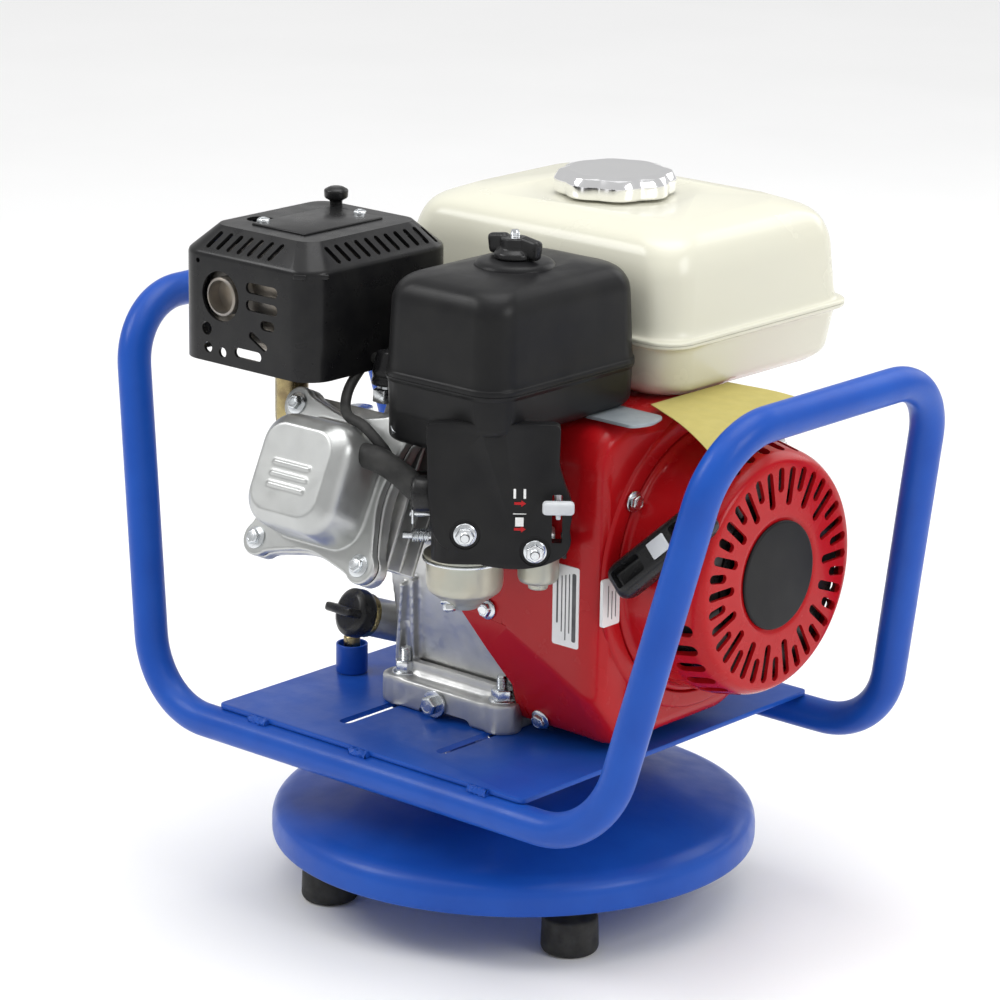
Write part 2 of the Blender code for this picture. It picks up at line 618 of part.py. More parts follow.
def air_cleaner():
    box = (FILTER_X0, FILTER_X1, FILTER_Y0, FILTER_Y1)
    levels = [(TRAY_Z0, 0.006, 0.020), (TRAY_Z0 + 0.006, 0.001, 0.024), (TRAY_Z1, 0, 0.025)]
    tray = loft("air_cleaner_base", box_rings(*box, levels), BLACK, at(0, 0, 0))
    levels = [(TRAY_Z0 + 0.004, 0.008, 0.018), (TRAY_Z1 + 0.01, 0.004, 0.022)]
    cut(tray, loft("tray_inside", box_rings(*box, levels), BLACK, at(0, 0, 0)))
    turn = Matrix.Rotation(CARB_TURN, 3, "Z")
    rings = [rounded(0.062, 0.033, 0.014, z) for z in (0.267, TRAY_Z0 + 0.002)]
    fuse(tray, loft("elbow", rings, BLACK, by_elbow(-0.009, 0.0168, 0), turn))
    fuse(tray, block("lever_shield", (0.040, 0.003, 0.076), by_elbow(0.025, 0.0018, 0.307), BLACK, turn))
    cut(tray, block("lever_slot", (0.006, 0.02, 0.030), by_elbow(0.035, 0.0018, 0.298), BLACK, turn))
    rings = [rounded(0.048, 0.022, 0.008, z) for z in (0.275, 0.341)]
    cut(tray, loft("elbow_duct", rings, BLACK, by_elbow(-0.009, 0.0168, 0), turn))
    rings = [rounded(0.024, 0.018, 0.008, z) for z in (0.335, TRAY_Z0 + 0.010)]
    cut(tray, loft("elbow_mouth", rings, BLACK, by_elbow(0, 0.020, 0), turn))
    duct = lathe("inlet", [(0, 0), (0.011, 0), (0.011, 0.022), (0, 0.022)], BLACK,
                 by_elbow(-0.021, 0.040, 0.280), CARB_OUT, 16)
    cut(tray, duct)
    levels = [
        (TRAY_Z1 + GAP, 0, 0.025), (LID_TOP_Z - 0.012, 0.003, 0.024),
        (LID_TOP_Z - 0.004, 0.007, 0.021), (LID_TOP_Z, 0.016, 0.014),
    ]
    lid = loft("air_cleaner_cover", box_rings(*box, levels), BLACK, at(0, 0, 0))
    levels = [
        (TRAY_Z1 - 0.01, 0.003, 0.022), (LID_TOP_Z - 0.013, 0.006, 0.021),
        (LID_TOP_Z - 0.003, 0.018, 0.012),
    ]
    cut(lid, loft("lid_inside", box_rings(*box, levels), BLACK, at(0, 0, 0)))
    middle = at((FILTER_X0 + FILTER_X1) / 2, (FILTER_Y0 + FILTER_Y1) / 2, 0)
    hole = [(0, 0.40), (0.004, 0.40), (0.004, 0.45), (0, 0.45)]
    cut(lid, lathe("stud_hole", hole, BLACK, middle, segments=12))
    ring = rounded(0.070, 0.104, 0.018, TRAY_Z1 + 0.001)
    foam = loft("air_filter_element", [ring, lift(ring, LID_TOP_Z - 0.010)], FOAM, middle)
    hole = rounded(0.046, 0.080, 0.012, TRAY_Z1 - 0.01)
    cut(foam, loft("foam_hole", [hole, lift(hole, LID_TOP_Z + 0.01)], FOAM, middle))
    low, shoulder, top = TRAY_Z0 + 0.0045, TRAY_Z0 + 0.007, LID_TOP_Z + 0.021
    bar = [(0, low), (0.012, low), (0.012, shoulder), (0.003, shoulder), (0.003, top), (0, top)]
    lathe("air_cleaner_stud", bar, STEEL, middle, segments=12)
    z = LID_TOP_Z + GAP
    body = [
        (0.0034, z), (0.015, z), (0.013, z + 0.004), (0.008, z + 0.006), (0.0075, z + 0.016),
        (0.0034, z + 0.016),
    ]
    nut = lathe("wing_nut", body, BLACK, middle, segments=16)
    for side in (-1, 1):
        centre = middle + Vector((side * 0.0125, 0, z + 0.0085))
        fuse(nut, block("wing", (0.013, 0.006, 0.011), centre, BLACK, bevel=0.001))


def fuel_tank():
    box = (TANK_X0, TANK_X1, TANK_Y0, TANK_Y1)
    seam = TANK_SEAM_Z
    t = 0.0022
    levels = [
        (seam + GAP, 0, 0.030), (seam + 0.003, 0, 0.030), (seam + 0.004, 0.004, 0.028),
        (TANK_TOP_Z - 0.022, 0.007, 0.028), (TANK_TOP_Z - 0.008, 0.014, 0.030),
        (TANK_TOP_Z, 0.032, 0.030),
    ]
    upper = loft("fuel_tank_upper", box_rings(*box, levels), IVORY, at(0, 0, 0))
    levels = [
        (seam - 0.01, 0.006, 0.026), (TANK_TOP_Z - 0.023, 0.0095, 0.026),
        (TANK_TOP_Z - t, 0.034, 0.026),
    ]
    cut(upper, loft("upper_inside", box_rings(*box, levels), IVORY, at(0, 0, 0)))
    neck_top = TANK_TOP_Z + 0.003
    root = TANK_TOP_Z - 0.02
    centre = at(CAP_X, CAP_Y, 0)
    neck = [(0, root), (0.026, root), (0.026, neck_top), (0, neck_top)]
    fuse(upper, lathe("neck", neck, IVORY, centre))
    low, high = TANK_TOP_Z - 0.03, TANK_TOP_Z + 0.01
    mouth = [(0, low), (0.0235, low), (0.0235, high), (0, high)]
    cut(upper, lathe("mouth", mouth, IVORY, centre))
    levels = [
        (TANK_BOTTOM_Z, 0.018, 0.022), (TANK_BOTTOM_Z + 0.008, 0.010, 0.026),
        (seam - 0.004, 0.004, 0.028), (seam - 0.003, 0, 0.030), (seam, 0, 0.030),
    ]
    lower = loft("fuel_tank_lower", box_rings(*box, levels), IVORY, at(0, 0, 0))
    levels = [
        (TANK_BOTTOM_Z + t, 0.020, 0.020), (TANK_BOTTOM_Z + 0.010, 0.0125, 0.024),
        (seam + 0.01, 0.006, 0.026),
    ]
    cut(lower, loft("lower_inside", box_rings(*box, levels), IVORY, at(0, 0, 0)))
    low = neck_top + GAP
    high = low + 0.0015
    lathe("cap_gasket", [(0.018, low), (0.026, low), (0.026, high), (0.018, high)], RUBBER, centre)
    base = high + GAP
    lobes = []
    for k in range(40):
        a = math.tau * k / 40
        lobes.append((CAP_R * (0.955 + 0.045 * math.cos(8 * a)), a))
    heights = ((TANK_TOP_Z + GAP, 1.0), (base + 0.004, 1.0), (base + 0.008, 0.93), (base + 0.0095, 0.84))
    rings = [[(r * s * math.cos(a), r * s * math.sin(a), z) for r, a in lobes] for z, s in heights]
    cap = loft("fuel_cap", rings, CHROME, centre)
    room = [(0, 0.44), (0.032, 0.44), (0.032, base), (0, base)]
    cut(cap, lathe("cap_inside", room, CHROME, centre))


# ---------------------------------------------------------------- cooling and starting
def fan_outline():
    """The fan cover's outline across the crank axis: a scroll round the flywheel, flat on top."""
    near, far = 0.106, 0.112  # the scroll opens out as it goes round
    points = [(-0.069, 0.205), (-0.069, 0.322), (-0.063, 0.335), (-0.050, FAN_TOP_Z)]
    start = math.asin((FAN_TOP_Z - CRANK_Z) / near)
    stop = math.asin((FAN_LOW_Z - CRANK_Z) / far)
    steps = 10
    for k in range(steps + 1):
        a = start + (stop - start) * k / steps
        r = near + (far - near) * k / steps
        points.append((CRANK_Y + r * math.cos(a), CRANK_Z + r * math.sin(a)))
    points += [(-0.046, FAN_LOW_Z), (-0.050, 0.160)]
    return points


def fan_cover():
    outline = fan_outline()
    middle = Vector((0.02, 0.24))

    def ring(x, inset):
        points = []
        for y, z in outline:
            away = Vector((y, z)) - middle
            point = middle + away * (1 - inset / away.length)
            points.append((x, *point))
        return points

    rings = [ring(FAN_X0, 0), ring(FAN_X1 - 0.014, 0), ring(FAN_X1 - 0.004, 0.005), ring(FAN_X1, 0.014)]
    cover = loft("fan_cover", rings, RED, at(0, 0, 0))
    rings = [ring(FAN_X0 - 0.01, 0.003), ring(FAN_X1 - 0.015, 0.003), ring(FAN_X1 - 0.003, 0.016)]
    cut(cover, loft("fan_room", rings, RED, at(0, 0, 0)))
    cut(cover, rod_x("intake", INTAKE_R, FAN_X1 - 0.02, FAN_X1 + 0.02, RED, segments=28))
    side = block("side_wall", (0.020, 0.003, 0.110), at(FAN_X0 - 0.004, -0.0674, 0.262), RED)
    fuse(cover, side)


def recoil():
    x = FAN_X1 + GAP
    depth = RECOIL_X1 - x
    t = 0.0025
    outer = [
        (0.086, 0), (0.086, 0.003), (0.081, 0.005), (0.079, depth - 0.018), (0.075, depth - 0.008),
        (0.068, depth - 0.003),
    ]
    face = [(0.040, depth - 0.003), (0.037, depth), (0, depth)]
    post = [(0, depth - 0.021), (0.008, depth - 0.021), (0.008, depth - 0.003 - t)]
    inner = [
        (0.067, depth - 0.003 - t), (0.0725, depth - 0.009), (0.0765, depth - 0.018),
        (0.0785, 0.005), (0.0785, 0),
    ]
    profile = outer + face + post + inner
    shell = lathe("recoil_housing", profile, RED, at(x, CRANK_Y, CRANK_Z), X_AXIS, 28)
    for k in range(RECOIL_SLOTS):
        a = math.tau * k / RECOIL_SLOTS
        away = Vector((0, math.cos(a), math.sin(a)))
        centre = at(RECOIL_X1, CRANK_Y, CRANK_Z) + away * 0.054
        cut(shell, block("slot", (0.02, 0.022, 0.005), centre, RED, Matrix.Rotation(a, 3, "X")))
    pull = Vector(PULL_AXIS).normalized()
    grip = at(*GRIP_CENTRE)
    hole = [(0, -0.02), (0.0045, -0.02), (0.0045, 0.03), (0, 0.03)]
    cut(shell, lathe("rope_hole", hole, RED, grip - pull * 0.014, -pull, 12))
    reel = [
        (0.0084, 0), (0.050, 0), (0.050, 0.002), (0.036, 0.003), (0.036, 0.009), (0.050, 0.010),
        (0.050, 0.012), (0.0084, 0.012),
    ]
    lathe("recoil_reel", reel, BLACK, at(RECOIL_X1 - 0.0200, CRANK_Y, CRANK_Z), X_AXIS, 24)
    rope = [grip - pull * ROPE_TAIL, grip - pull * (0.009 + GAP)]
    tube("starter_rope", rope, 0.0022, ROPE, 2)
    along = Vector(GRIP_LINE).normalized()
    along = (along - pull * along.dot(pull)).normalized()
    turn = Matrix((along, pull, along.cross(pull))).transposed()
    rings = [rounded(0.078, 0.018, 0.0088, z) for z in (-0.011, 0.011)]
    handle = loft("starter_grip", rings, BLACK, grip, turn)
    bevel = handle.modifiers.new("edge", "BEVEL")
    bevel.width = 0.002
    bevel.segments = 1
    bevel.limit_method = "ANGLE"


def controls():
    turn = Matrix.Rotation(math.radians(-6), 3, "Z")
    plate("throttle_lever", lever_outline(0.058, 0.014), 0, 0.002, STEEL, at(*THROTTLE_PIN), turn)
    x = FAN_X1 + GAP
    base = [(0, 0), (0.012, 0), (0.012, 0.004), (0.009, 0.006), (0, 0.006)]
    knob = lathe("engine_switch", base, BLACK, at(x, -0.030, 0.158), X_AXIS, 16)
    fuse(knob, block("switch_bar", (0.008, 0.005, 0.016), at(x + 0.0085, -0.030, 0.158), RED))


# ---------------------------------------------------------------- turning parts
def crank_train():
    shaft = rod_x("crankshaft", SHAFT_R, -0.146, -0.030, STEEL, segments=20)
    front = rod_x("front_shaft", SHAFT_R, 0.013, 0.118, STEEL, segments=20)
    rear_web = rod_x("rear_web", 0.038, -0.032, -0.019, STEEL, segments=20)
    front_web = rod_x("front_web", 0.038, 0.003, 0.016, STEEL, segments=20)
    pin = lathe("pin", [(0, 0), (0.010, 0), (0.010, 0.028), (0, 0.028)], STEEL,
                on_bore(CRANK_THROW, x=-0.022), X_AXIS, 16)
    fuse(shaft, rear_web, front_web, pin, front)
    disc = [(0, 0), (0.090, 0), (0.090, 0.012), (0, 0.012)]
    wheel = lathe("flywheel", disc, CAST, at(0.060, CRANK_Y, CRANK_Z), X_AXIS, 28)
    blades = []
    for k in range(FAN_BLADES):
        middle = math.tau * k / FAN_BLADES
        for radius, half in ((0.040, 0.006), (0.086, 0.0025)):
            for side in (-1, 1):
                blades.append((k, radius, middle + side * half / radius))
    outline = []
    for k in range(FAN_BLADES):
        root_low, root_high, tip_low, tip_high = blades[4 * k : 4 * k + 4]
        for _, radius, angle in (root_low, tip_low, tip_high, root_high):
            outline.append((radius * math.cos(angle), radius * math.sin(angle)))
    rings = [[(x, y, z) for y, z in outline] for x in (0.068, 0.092)]
    fan = loft("fan", rings, CAST, at(0, CRANK_Y, CRANK_Z))
    eye = rod_x("fan_eye", 0.044, 0.074, 0.12, CAST, segments=20)
    core = rod_x("core", 0.030, 0.065, 0.100, CAST, segments=20)
    fuse(wheel, fan)
    cut(wheel, eye)
    fuse(wheel, core)
    cut(wheel, rod_x("bore_cut", SHAFT_R + GAP, 0.05, 0.13, CAST, segments=20))


def conrod():
    x0, x1 = -0.0185, 0.0025
    width = x1 - x0
    big = [(0.0103, 0), (0.0165, 0), (0.0165, width), (0.0103, width)]
    rod = lathe("connecting_rod", big, STEEL, on_bore(CRANK_THROW, x=x0), X_AXIS, 20)
    small = [(0.0065, 0), (0.0095, 0), (0.0095, width), (0.0065, width)]
    small = lathe("small_end", small, STEEL, on_bore(CRANK_THROW + ROD_LENGTH, x=x0), X_AXIS, 16)
    middle = on_bore(CRANK_THROW + ROD_LENGTH / 2 + 0.003)
    turn = facing(ALONG_BORE, X_AXIS)
    fuse(rod, small, block("beam", (0.009, 0.011, ROD_LENGTH - 0.021), middle, STEEL, turn))
    outer, top = BORE_R - 0.0004, HEAD_START - 0.002
    crown = [
        (0, top), (outer, top), (outer, 0.118), (outer - 0.004, 0.118), (outer - 0.004, 0.128),
        (0, 0.128),
    ]
    lathe("piston", crown, CAST, on_bore(0), ALONG_BORE, 24)


def coupling():
    x = COUPLING_X - GAP
    hole = SHAFT_R + 0.001
    length = COUPLING_LENGTH
    shell = [
        (hole, 0), (0.044, 0), (0.044, 0.007), (0.038, 0.009), (0.038, 0.062), (0.030, 0.070),
        (0.030, length), (0.019, length), (0.019, 0.070), (0.033, 0.062), (0.033, 0.004),
        (hole, 0.004),
    ]
    housing = lathe("coupling_housing", shell, BLUE, at(x, CRANK_Y, CRANK_Z), (-1, 0, 0), 20)
    pin_at = at(x - 0.082, CRANK_Y, CRANK_Z)
    hole = [(0, 0.01), (0.0044, 0.01), (0.0044, 0.04), (0, 0.04)]
    cut(housing, lathe("pin_hole", hole, BLUE, pin_at, Z_AXIS, 12))
    pin = [
        (0, 0.0195), (0.0040, 0.0195), (0.0040, 0.0305), (0.008, 0.0305), (0.009, 0.034),
        (0.009, 0.042), (0, 0.042),
    ]
    lathe("coupling_lock_pin", pin, STEEL, pin_at, Z_AXIS, 16)
    hub = [
        (SHAFT_R + GAP, 0.006), (0.030, 0.006), (0.030, 0.058), (0.022, 0.062), (0.017, 0.068),
        (0.008, 0.068), (0.008, 0.063), (SHAFT_R + GAP, 0.063),
    ]
    lathe("coupling_hub", hub, STEEL, at(x, CRANK_Y, CRANK_Z), (-1, 0, 0), 24)


def breather():
    knots = [
        on_bore(0.212, HEAD_DROP + 0.0372, -0.018), on_bore(0.212, HEAD_DROP + 0.046, -0.014),
        on_bore(0.213, HEAD_DROP + 0.050, 0.004), on_bore(0.214, HEAD_DROP + 0.043, 0.024),
        on_bore(0.213, HEAD_DROP + 0.028, 0.037), by_elbow(-0.064, 0.0168, 0.313),
        by_elbow(-0.048, 0.0168, 0.307), by_elbow(-0.0406, 0.0168, 0.307),
    ]
    tube("breather_tube", smooth_path(knots, 18), 0.0036, BLACK, 2)


def main():
    clear_scene()
    swivel_base()
    frame_tubes()
    mounting_deck()
    crankcase()
    side_cover()
    cylinder_head()
    valve_cover()
    ignition()
    exhaust()
    carburettor()
    fuel_controls()
    air_cleaner()
    fuel_tank()
    fan_cover()
    recoil()
    controls()
    crank_train()
    conrod()
    coupling()
    breather()


main()
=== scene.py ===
"""The looks of the concrete vibrator's power unit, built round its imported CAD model."""

import math

import bmesh
import bpy
from mathutils import Matrix, Vector, noise


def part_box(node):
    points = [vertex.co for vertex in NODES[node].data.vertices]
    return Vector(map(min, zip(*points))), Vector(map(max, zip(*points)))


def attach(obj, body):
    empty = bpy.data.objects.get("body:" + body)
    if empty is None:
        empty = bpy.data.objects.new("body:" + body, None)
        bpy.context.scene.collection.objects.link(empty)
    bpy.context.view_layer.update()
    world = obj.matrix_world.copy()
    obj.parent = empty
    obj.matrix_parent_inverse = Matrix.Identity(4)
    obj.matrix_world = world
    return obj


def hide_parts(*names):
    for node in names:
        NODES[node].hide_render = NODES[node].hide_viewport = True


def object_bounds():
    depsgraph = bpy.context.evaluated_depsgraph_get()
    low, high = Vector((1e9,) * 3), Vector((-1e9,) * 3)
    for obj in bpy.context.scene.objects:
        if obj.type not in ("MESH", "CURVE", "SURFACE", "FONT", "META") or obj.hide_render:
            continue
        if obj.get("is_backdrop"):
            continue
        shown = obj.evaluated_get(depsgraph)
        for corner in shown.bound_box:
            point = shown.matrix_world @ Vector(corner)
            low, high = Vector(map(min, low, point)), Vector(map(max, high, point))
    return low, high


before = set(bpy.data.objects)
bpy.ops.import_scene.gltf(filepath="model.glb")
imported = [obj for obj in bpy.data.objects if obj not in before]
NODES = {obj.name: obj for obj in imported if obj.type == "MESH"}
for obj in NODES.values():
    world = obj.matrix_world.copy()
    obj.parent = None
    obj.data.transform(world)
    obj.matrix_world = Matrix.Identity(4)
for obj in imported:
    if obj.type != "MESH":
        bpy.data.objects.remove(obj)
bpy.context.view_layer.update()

X = Vector((1, 0, 0))
Y = Vector((0, 1, 0))
Z = Vector((0, 0, 1))
low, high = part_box("pivot_bolt")
PIVOT = (low + high) / 2

# ------------------------------------------------------------ dimensions shared with the CAD model
RAIL_Z, TUBE_R = 0.112, 0.011
RAIL_HALF_Y, CORNER_X = 0.141, 0.1895
HANDLE_RISE, HANDLE_LEAN, HANDLE_TUCK = 0.256, 0.056, 0.035
LOWER_BEND, UPPER_BEND = 0.058, 0.050
DECK_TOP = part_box("mounting_plate")[1].z
ENGINE_Z = DECK_TOP + 0.0003
CRANK_Y, CRANK_Z = 0.029, 0.243
FAN_FACE_X = 0.1283  # where the starter sits on the shroud
BORE_TILT = math.radians(25)
ALONG_BORE = Vector((0, -math.cos(BORE_TILT), math.sin(BORE_TILT)))
ACROSS_BORE = Vector((0, math.sin(BORE_TILT), math.cos(BORE_TILT)))
HEAD_X, HEAD_DROP, HEAD_START, HEAD_END, COVER_TOP = -0.016, -0.028, 0.140, 0.1885, 0.231
SHARP_DEG = 38  # edges sharper than this stay unsmoothed
BOLT_SPREAD = 0.0435  # from the bore to the cover's bolts, each way
CARB_TURN = math.radians(41)
CARB_OUT = Vector((math.sin(CARB_TURN), -math.cos(CARB_TURN), 0))
CARB_ALONG = Vector((math.cos(CARB_TURN), math.sin(CARB_TURN), 0))
STUD_XS, STUD_YS = (-0.046, 0.037), (-0.055, 0.107)


def at(x, y, z):
    """A point given from the swivel axis and the floor."""
    return Vector((PIVOT.x + x, PIVOT.y + y, z))


def on_bore(distance, across=0.0, x=-0.008):
    return at(x, CRANK_Y, CRANK_Z) + ALONG_BORE * distance + ACROSS_BORE * across


def by_elbow(along, back, z):
    """A point from the middle of the air elbow's face."""
    return at(0.105, -0.138, z) + CARB_ALONG * along - CARB_OUT * back


def facing(origin, direction, hint=Z):
    """A placement whose +Z is a direction, and whose +X is square to a hint."""
    z = Vector(direction).normalized()
    x = Vector(hint).cross(z)
    if x.length < 1e-6:
        x = X.copy()
    x.normalize()
    turn = Matrix((x, z.cross(x), z)).transposed().to_4x4()
    return Matrix.Translation(origin) @ turn


# ---------------------------------------------------------------- materials
class Look:
    """A Principled material whose colour, roughness and bump come from procedural noise."""

    def __init__(self, name, colour, roughness, metallic=0.0, coat=0.0, specular=0.5):
        self.material = bpy.data.materials.new(name)
        self.material.use_nodes = True
        self.nodes = self.material.node_tree.nodes
        self.links = self.material.node_tree.links
        self.shader = self.nodes["Principled BSDF"]
        sockets = self.shader.inputs
        sockets["Base Color"].default_value = (*colour, 1)
        sockets["Roughness"].default_value = roughness
        sockets["Metallic"].default_value = metallic
        sockets["Coat Weight"].default_value = coat
        sockets["Coat Roughness"].default_value = 0.08
        sockets["Specular IOR Level"].default_value = specular
        self.colour = (*colour, 1)
        self.roughness = roughness
        self.place = self.nodes.new("ShaderNodeTexCoord").outputs["Object"]
        self.normal = None

    def noise(self, scale, detail=3.0, stretch=None):
        node = self.nodes.new("ShaderNodeTexNoise")
        node.inputs["Scale"].default_value = scale
        node.inputs["Detail"].default_value = detail
        source = self.place
        if stretch:
            mapping = self.nodes.new("ShaderNodeMapping")
            mapping.inputs["Scale"].default_value = stretch
            self.links.new(source, mapping.inputs["Vector"])
            source = mapping.outputs["Vector"]
        self.links.new(source, node.inputs["Vector"])
        return node.outputs["Fac"]

    def ramp(self, source, first, last):
        node = self.nodes.new("ShaderNodeValToRGB")
        node.color_ramp.elements[0].position = 0.35
        node.color_ramp.elements[1].position = 0.65
        node.color_ramp.elements[0].color = first
        node.color_ramp.elements[1].color = last
        self.links.new(source, node.inputs["Fac"])
        return node.outputs["Color"]

    def vary(self, scale, other, amount=0.5):
        """Drifts the colour towards another one in soft patches."""
        mixed = [a + (b - a) * amount for a, b in zip(self.colour[:3], other)]
        colour = self.ramp(self.noise(scale, 4.0), self.colour, (*mixed, 1))
        self.links.new(colour, self.shader.inputs["Base Color"])
        return self

    def gloss(self, scale, spread):
        """Varies the roughness by this much each way."""
        node = self.nodes.new("ShaderNodeMapRange")
        node.inputs["From Min"].default_value = 0.3
        node.inputs["From Max"].default_value = 0.7
        node.inputs["To Min"].default_value = max(0.02, self.roughness - spread)
        node.inputs["To Max"].default_value = self.roughness + spread
        self.links.new(self.noise(scale, 5.0), node.inputs["Value"])
        self.links.new(node.outputs["Result"], self.shader.inputs["Roughness"])
        return self

    def relief(self, source, height, strength):
        """Adds a height map on top of any relief that is there already."""
        node = self.nodes.new("ShaderNodeBump")
        node.inputs["Strength"].default_value = strength
        node.inputs["Distance"].default_value = height
        self.links.new(source, node.inputs["Height"])
        if self.normal is not None:
            self.links.new(self.normal, node.inputs["Normal"])
        self.normal = node.outputs["Normal"]
        self.links.new(self.normal, self.shader.inputs["Normal"])
        return self

    def bump(self, scale, height, strength=0.6, stretch=None):
        """Adds noisy relief of this height in metres."""
        return self.relief(self.noise(scale, 3.0, stretch), height, strength)

    def cells(self, scale, height, strength=0.5):
        """Adds a pebbled grain."""
        cell = self.nodes.new("ShaderNodeTexVoronoi")
        cell.inputs["Scale"].default_value = scale
        self.links.new(self.place, cell.inputs["Vector"])
        return self.relief(cell.outputs["Distance"], height, strength)


BLUE = Look("blue paint", (0.009, 0.070, 0.39), 0.36, coat=0.05, specular=0.22).vary(26,
    (0.012, 0.090, 0.46), 0.6)
BLUE.gloss(60, 0.07).bump(420, 0.00012, 0.35).bump(2600, 0.00003, 0.3)
RED = Look("red enamel", (0.45, 0.007, 0.010), 0.25, coat=0.12, specular=0.18).vary(18,
    (0.42, 0.005, 0.009), 0.7)
RED.gloss(50, 0.05).bump(160, 0.0002, 0.12)
IVORY = Look("ivory enamel", (0.70, 0.69, 0.57), 0.26, coat=0.2, specular=0.4).vary(9,
    (0.72, 0.70, 0.57), 0.4)
IVORY.gloss(25, 0.02).bump(140, 0.0001, 0.03)
CAST = Look("cast aluminium", (0.57, 0.57, 0.555), 0.40, metallic=0.85).vary(60, (0.44, 0.45, 0.46),
    0.6)
CAST.gloss(110, 0.10).cells(1500, 0.0001, 0.35).bump(500, 0.0002, 0.35)
COVER = Look("satin aluminium", (0.50, 0.51, 0.50), 0.36, metallic=0.85).vary(40,
    (0.42, 0.43, 0.43), 0.5)
COVER.gloss(90, 0.07).bump(1400, 0.00012, 0.35)
STEEL = Look("bright zinc", (0.70, 0.72, 0.74), 0.24, metallic=1.0).vary(90, (0.56, 0.60, 0.62),
    0.6)
STEEL.gloss(200, 0.08).bump(900, 0.00008, 0.3)
# Heat darkened steel on the muffler; on the flywheel the same dark colour is painted shade for the
# dark inside of the shroud.
DARK_STEEL_AND_SHADE = Look("heat darkened steel and painted shade", (0.25, 0.235, 0.22), 0.42, metallic=0.9)
DARK_STEEL_AND_SHADE.vary(50, (0.42, 0.36, 0.28), 0.7).gloss(90, 0.12).bump(600, 0.0002, 0.4)
GILT = Look("yellow plated steel", (0.42, 0.35, 0.17), 0.30, metallic=1.0).vary(60,
    (0.16, 0.11, 0.07), 0.8)
GILT.gloss(120, 0.10).bump(900, 0.0001, 0.3)
CHROME = Look("chrome", (0.92, 0.92, 0.93), 0.14, metallic=1.0).gloss(70, 0.03).bump(60, 0.0001,
    0.06)
GLOSS_BLACK = Look("black enamel", (0.008, 0.008, 0.009), 0.30, coat=0.1, specular=0.2).vary(70,
    (0.014, 0.014, 0.014), 0.8)
GLOSS_BLACK.gloss(90, 0.05).bump(260, 0.0001, 0.2)
SATIN_BLACK = Look("satin black plastic", (0.009, 0.009, 0.010), 0.36, specular=0.18).vary(40,
    (0.014, 0.014, 0.014), 0.8)
SATIN_BLACK.gloss(60, 0.05).cells(1900, 0.00008, 0.25)
MOULDED = Look("moulded black plastic", (0.011, 0.011, 0.012), 0.28, specular=0.3).vary(90,
    (0.02, 0.02, 0.02), 0.6)
MOULDED.gloss(140, 0.08).bump(700, 0.0001, 0.3)
RUBBER = Look("black rubber", (0.016, 0.016, 0.016), 0.62, specular=0.35).vary(120,
    (0.04, 0.04, 0.038), 0.7)
RUBBER.gloss(150, 0.10).bump(900, 0.0002, 0.4)
BOWL = Look("dull zinc", (0.43, 0.45, 0.40), 0.38, metallic=0.55).vary(35, (0.52, 0.47, 0.36), 0.6)
BOWL.gloss(120, 0.08).bump(1000, 0.0001, 0.3)
GREY = Look("grey plastic", (0.62, 0.64, 0.66), 0.42).vary(80, (0.5, 0.52, 0.55), 0.5)
GREY.gloss(100, 0.06).bump(900, 0.0001, 0.3)
SHEET = Look("grey plate", (0.30, 0.34, 0.37), 0.40, metallic=0.35).vary(90, (0.40, 0.44, 0.46),
    0.6)
SHEET.gloss(120, 0.08).bump(900, 0.0001, 0.3)
WHITE = Look("white label", (0.86, 0.86, 0.85), 0.35).vary(60, (0.78, 0.78, 0.76), 0.5).bump(500,
    0.00005, 0.2)
INK = Look("label ink", (0.05, 0.05, 0.055), 0.45).vary(200, (0.12, 0.12, 0.12), 0.5).bump(700,
    0.00003, 0.2)
FOAM = Look("filter foam", (0.03, 0.03, 0.03), 0.95).vary(300, (0.08, 0.08, 0.08), 0.8).cells(700,
    0.001, 1.0)
CORD = Look("braided rope", (0.60, 0.60, 0.57), 0.85).vary(500, (0.3, 0.3, 0.29), 0.7)
CORD.bump(900, 0.0006, 0.9, stretch=(1, 1, 3))
CARD = Look("yellow card", (0.50, 0.43, 0.14), 0.7, specular=0.2).vary(120, (0.44, 0.38, 0.12), 0.6)
CARD.gloss(90, 0.08).bump(700, 0.0001, 0.3)
FLOOR = Look("pale floor", (0.93, 0.93, 0.93), 0.65).vary(3, (0.91, 0.91, 0.91), 0.8)
FLOOR.gloss(5, 0.03).bump(60, 0.0001, 0.1)


# ---------------------------------------------------------------- mesh helpers
def solid(name, bm, place=None, smooth=SHARP_DEG):
    """A mesh object from a bmesh, with outward faces and smooth shading up to an angle."""
    bmesh.ops.recalc_face_normals(bm, faces=bm.faces)
    if place is not None:
        bm.transform(place)
    mesh = bpy.data.meshes.new(name)
    bm.to_mesh(mesh)
    bm.free()
    mesh.shade_smooth()
    mesh.set_sharp_from_angle(angle=math.radians(smooth))
    obj = bpy.data.objects.new(name, mesh)
    bpy.context.scene.collection.objects.link(obj)
    return obj


def soften(line, reach, steps=4, closed=False):
    """Rounds the corners of a line of number tuples, with at most this reach along each side."""
    count = len(line)
    result = []
    for i, point in enumerate(line):
        if not closed and i in (0, count - 1):
            result.append(tuple(point))
            continue
        p = Vector(point)
        a = Vector(line[i - 1]) - p
        b = Vector(line[(i + 1) % count]) - p
        ra = min(reach, a.length * 0.48)
        rb = min(reach, b.length * 0.48)
        start = p + a.normalized() * ra
        end = p + b.normalized() * rb
        for k in range(steps + 1):
            t = k / steps
            result.append(tuple(start * (1 - t) ** 2 + p * 2 * t * (1 - t) + end * t**2))
    return result


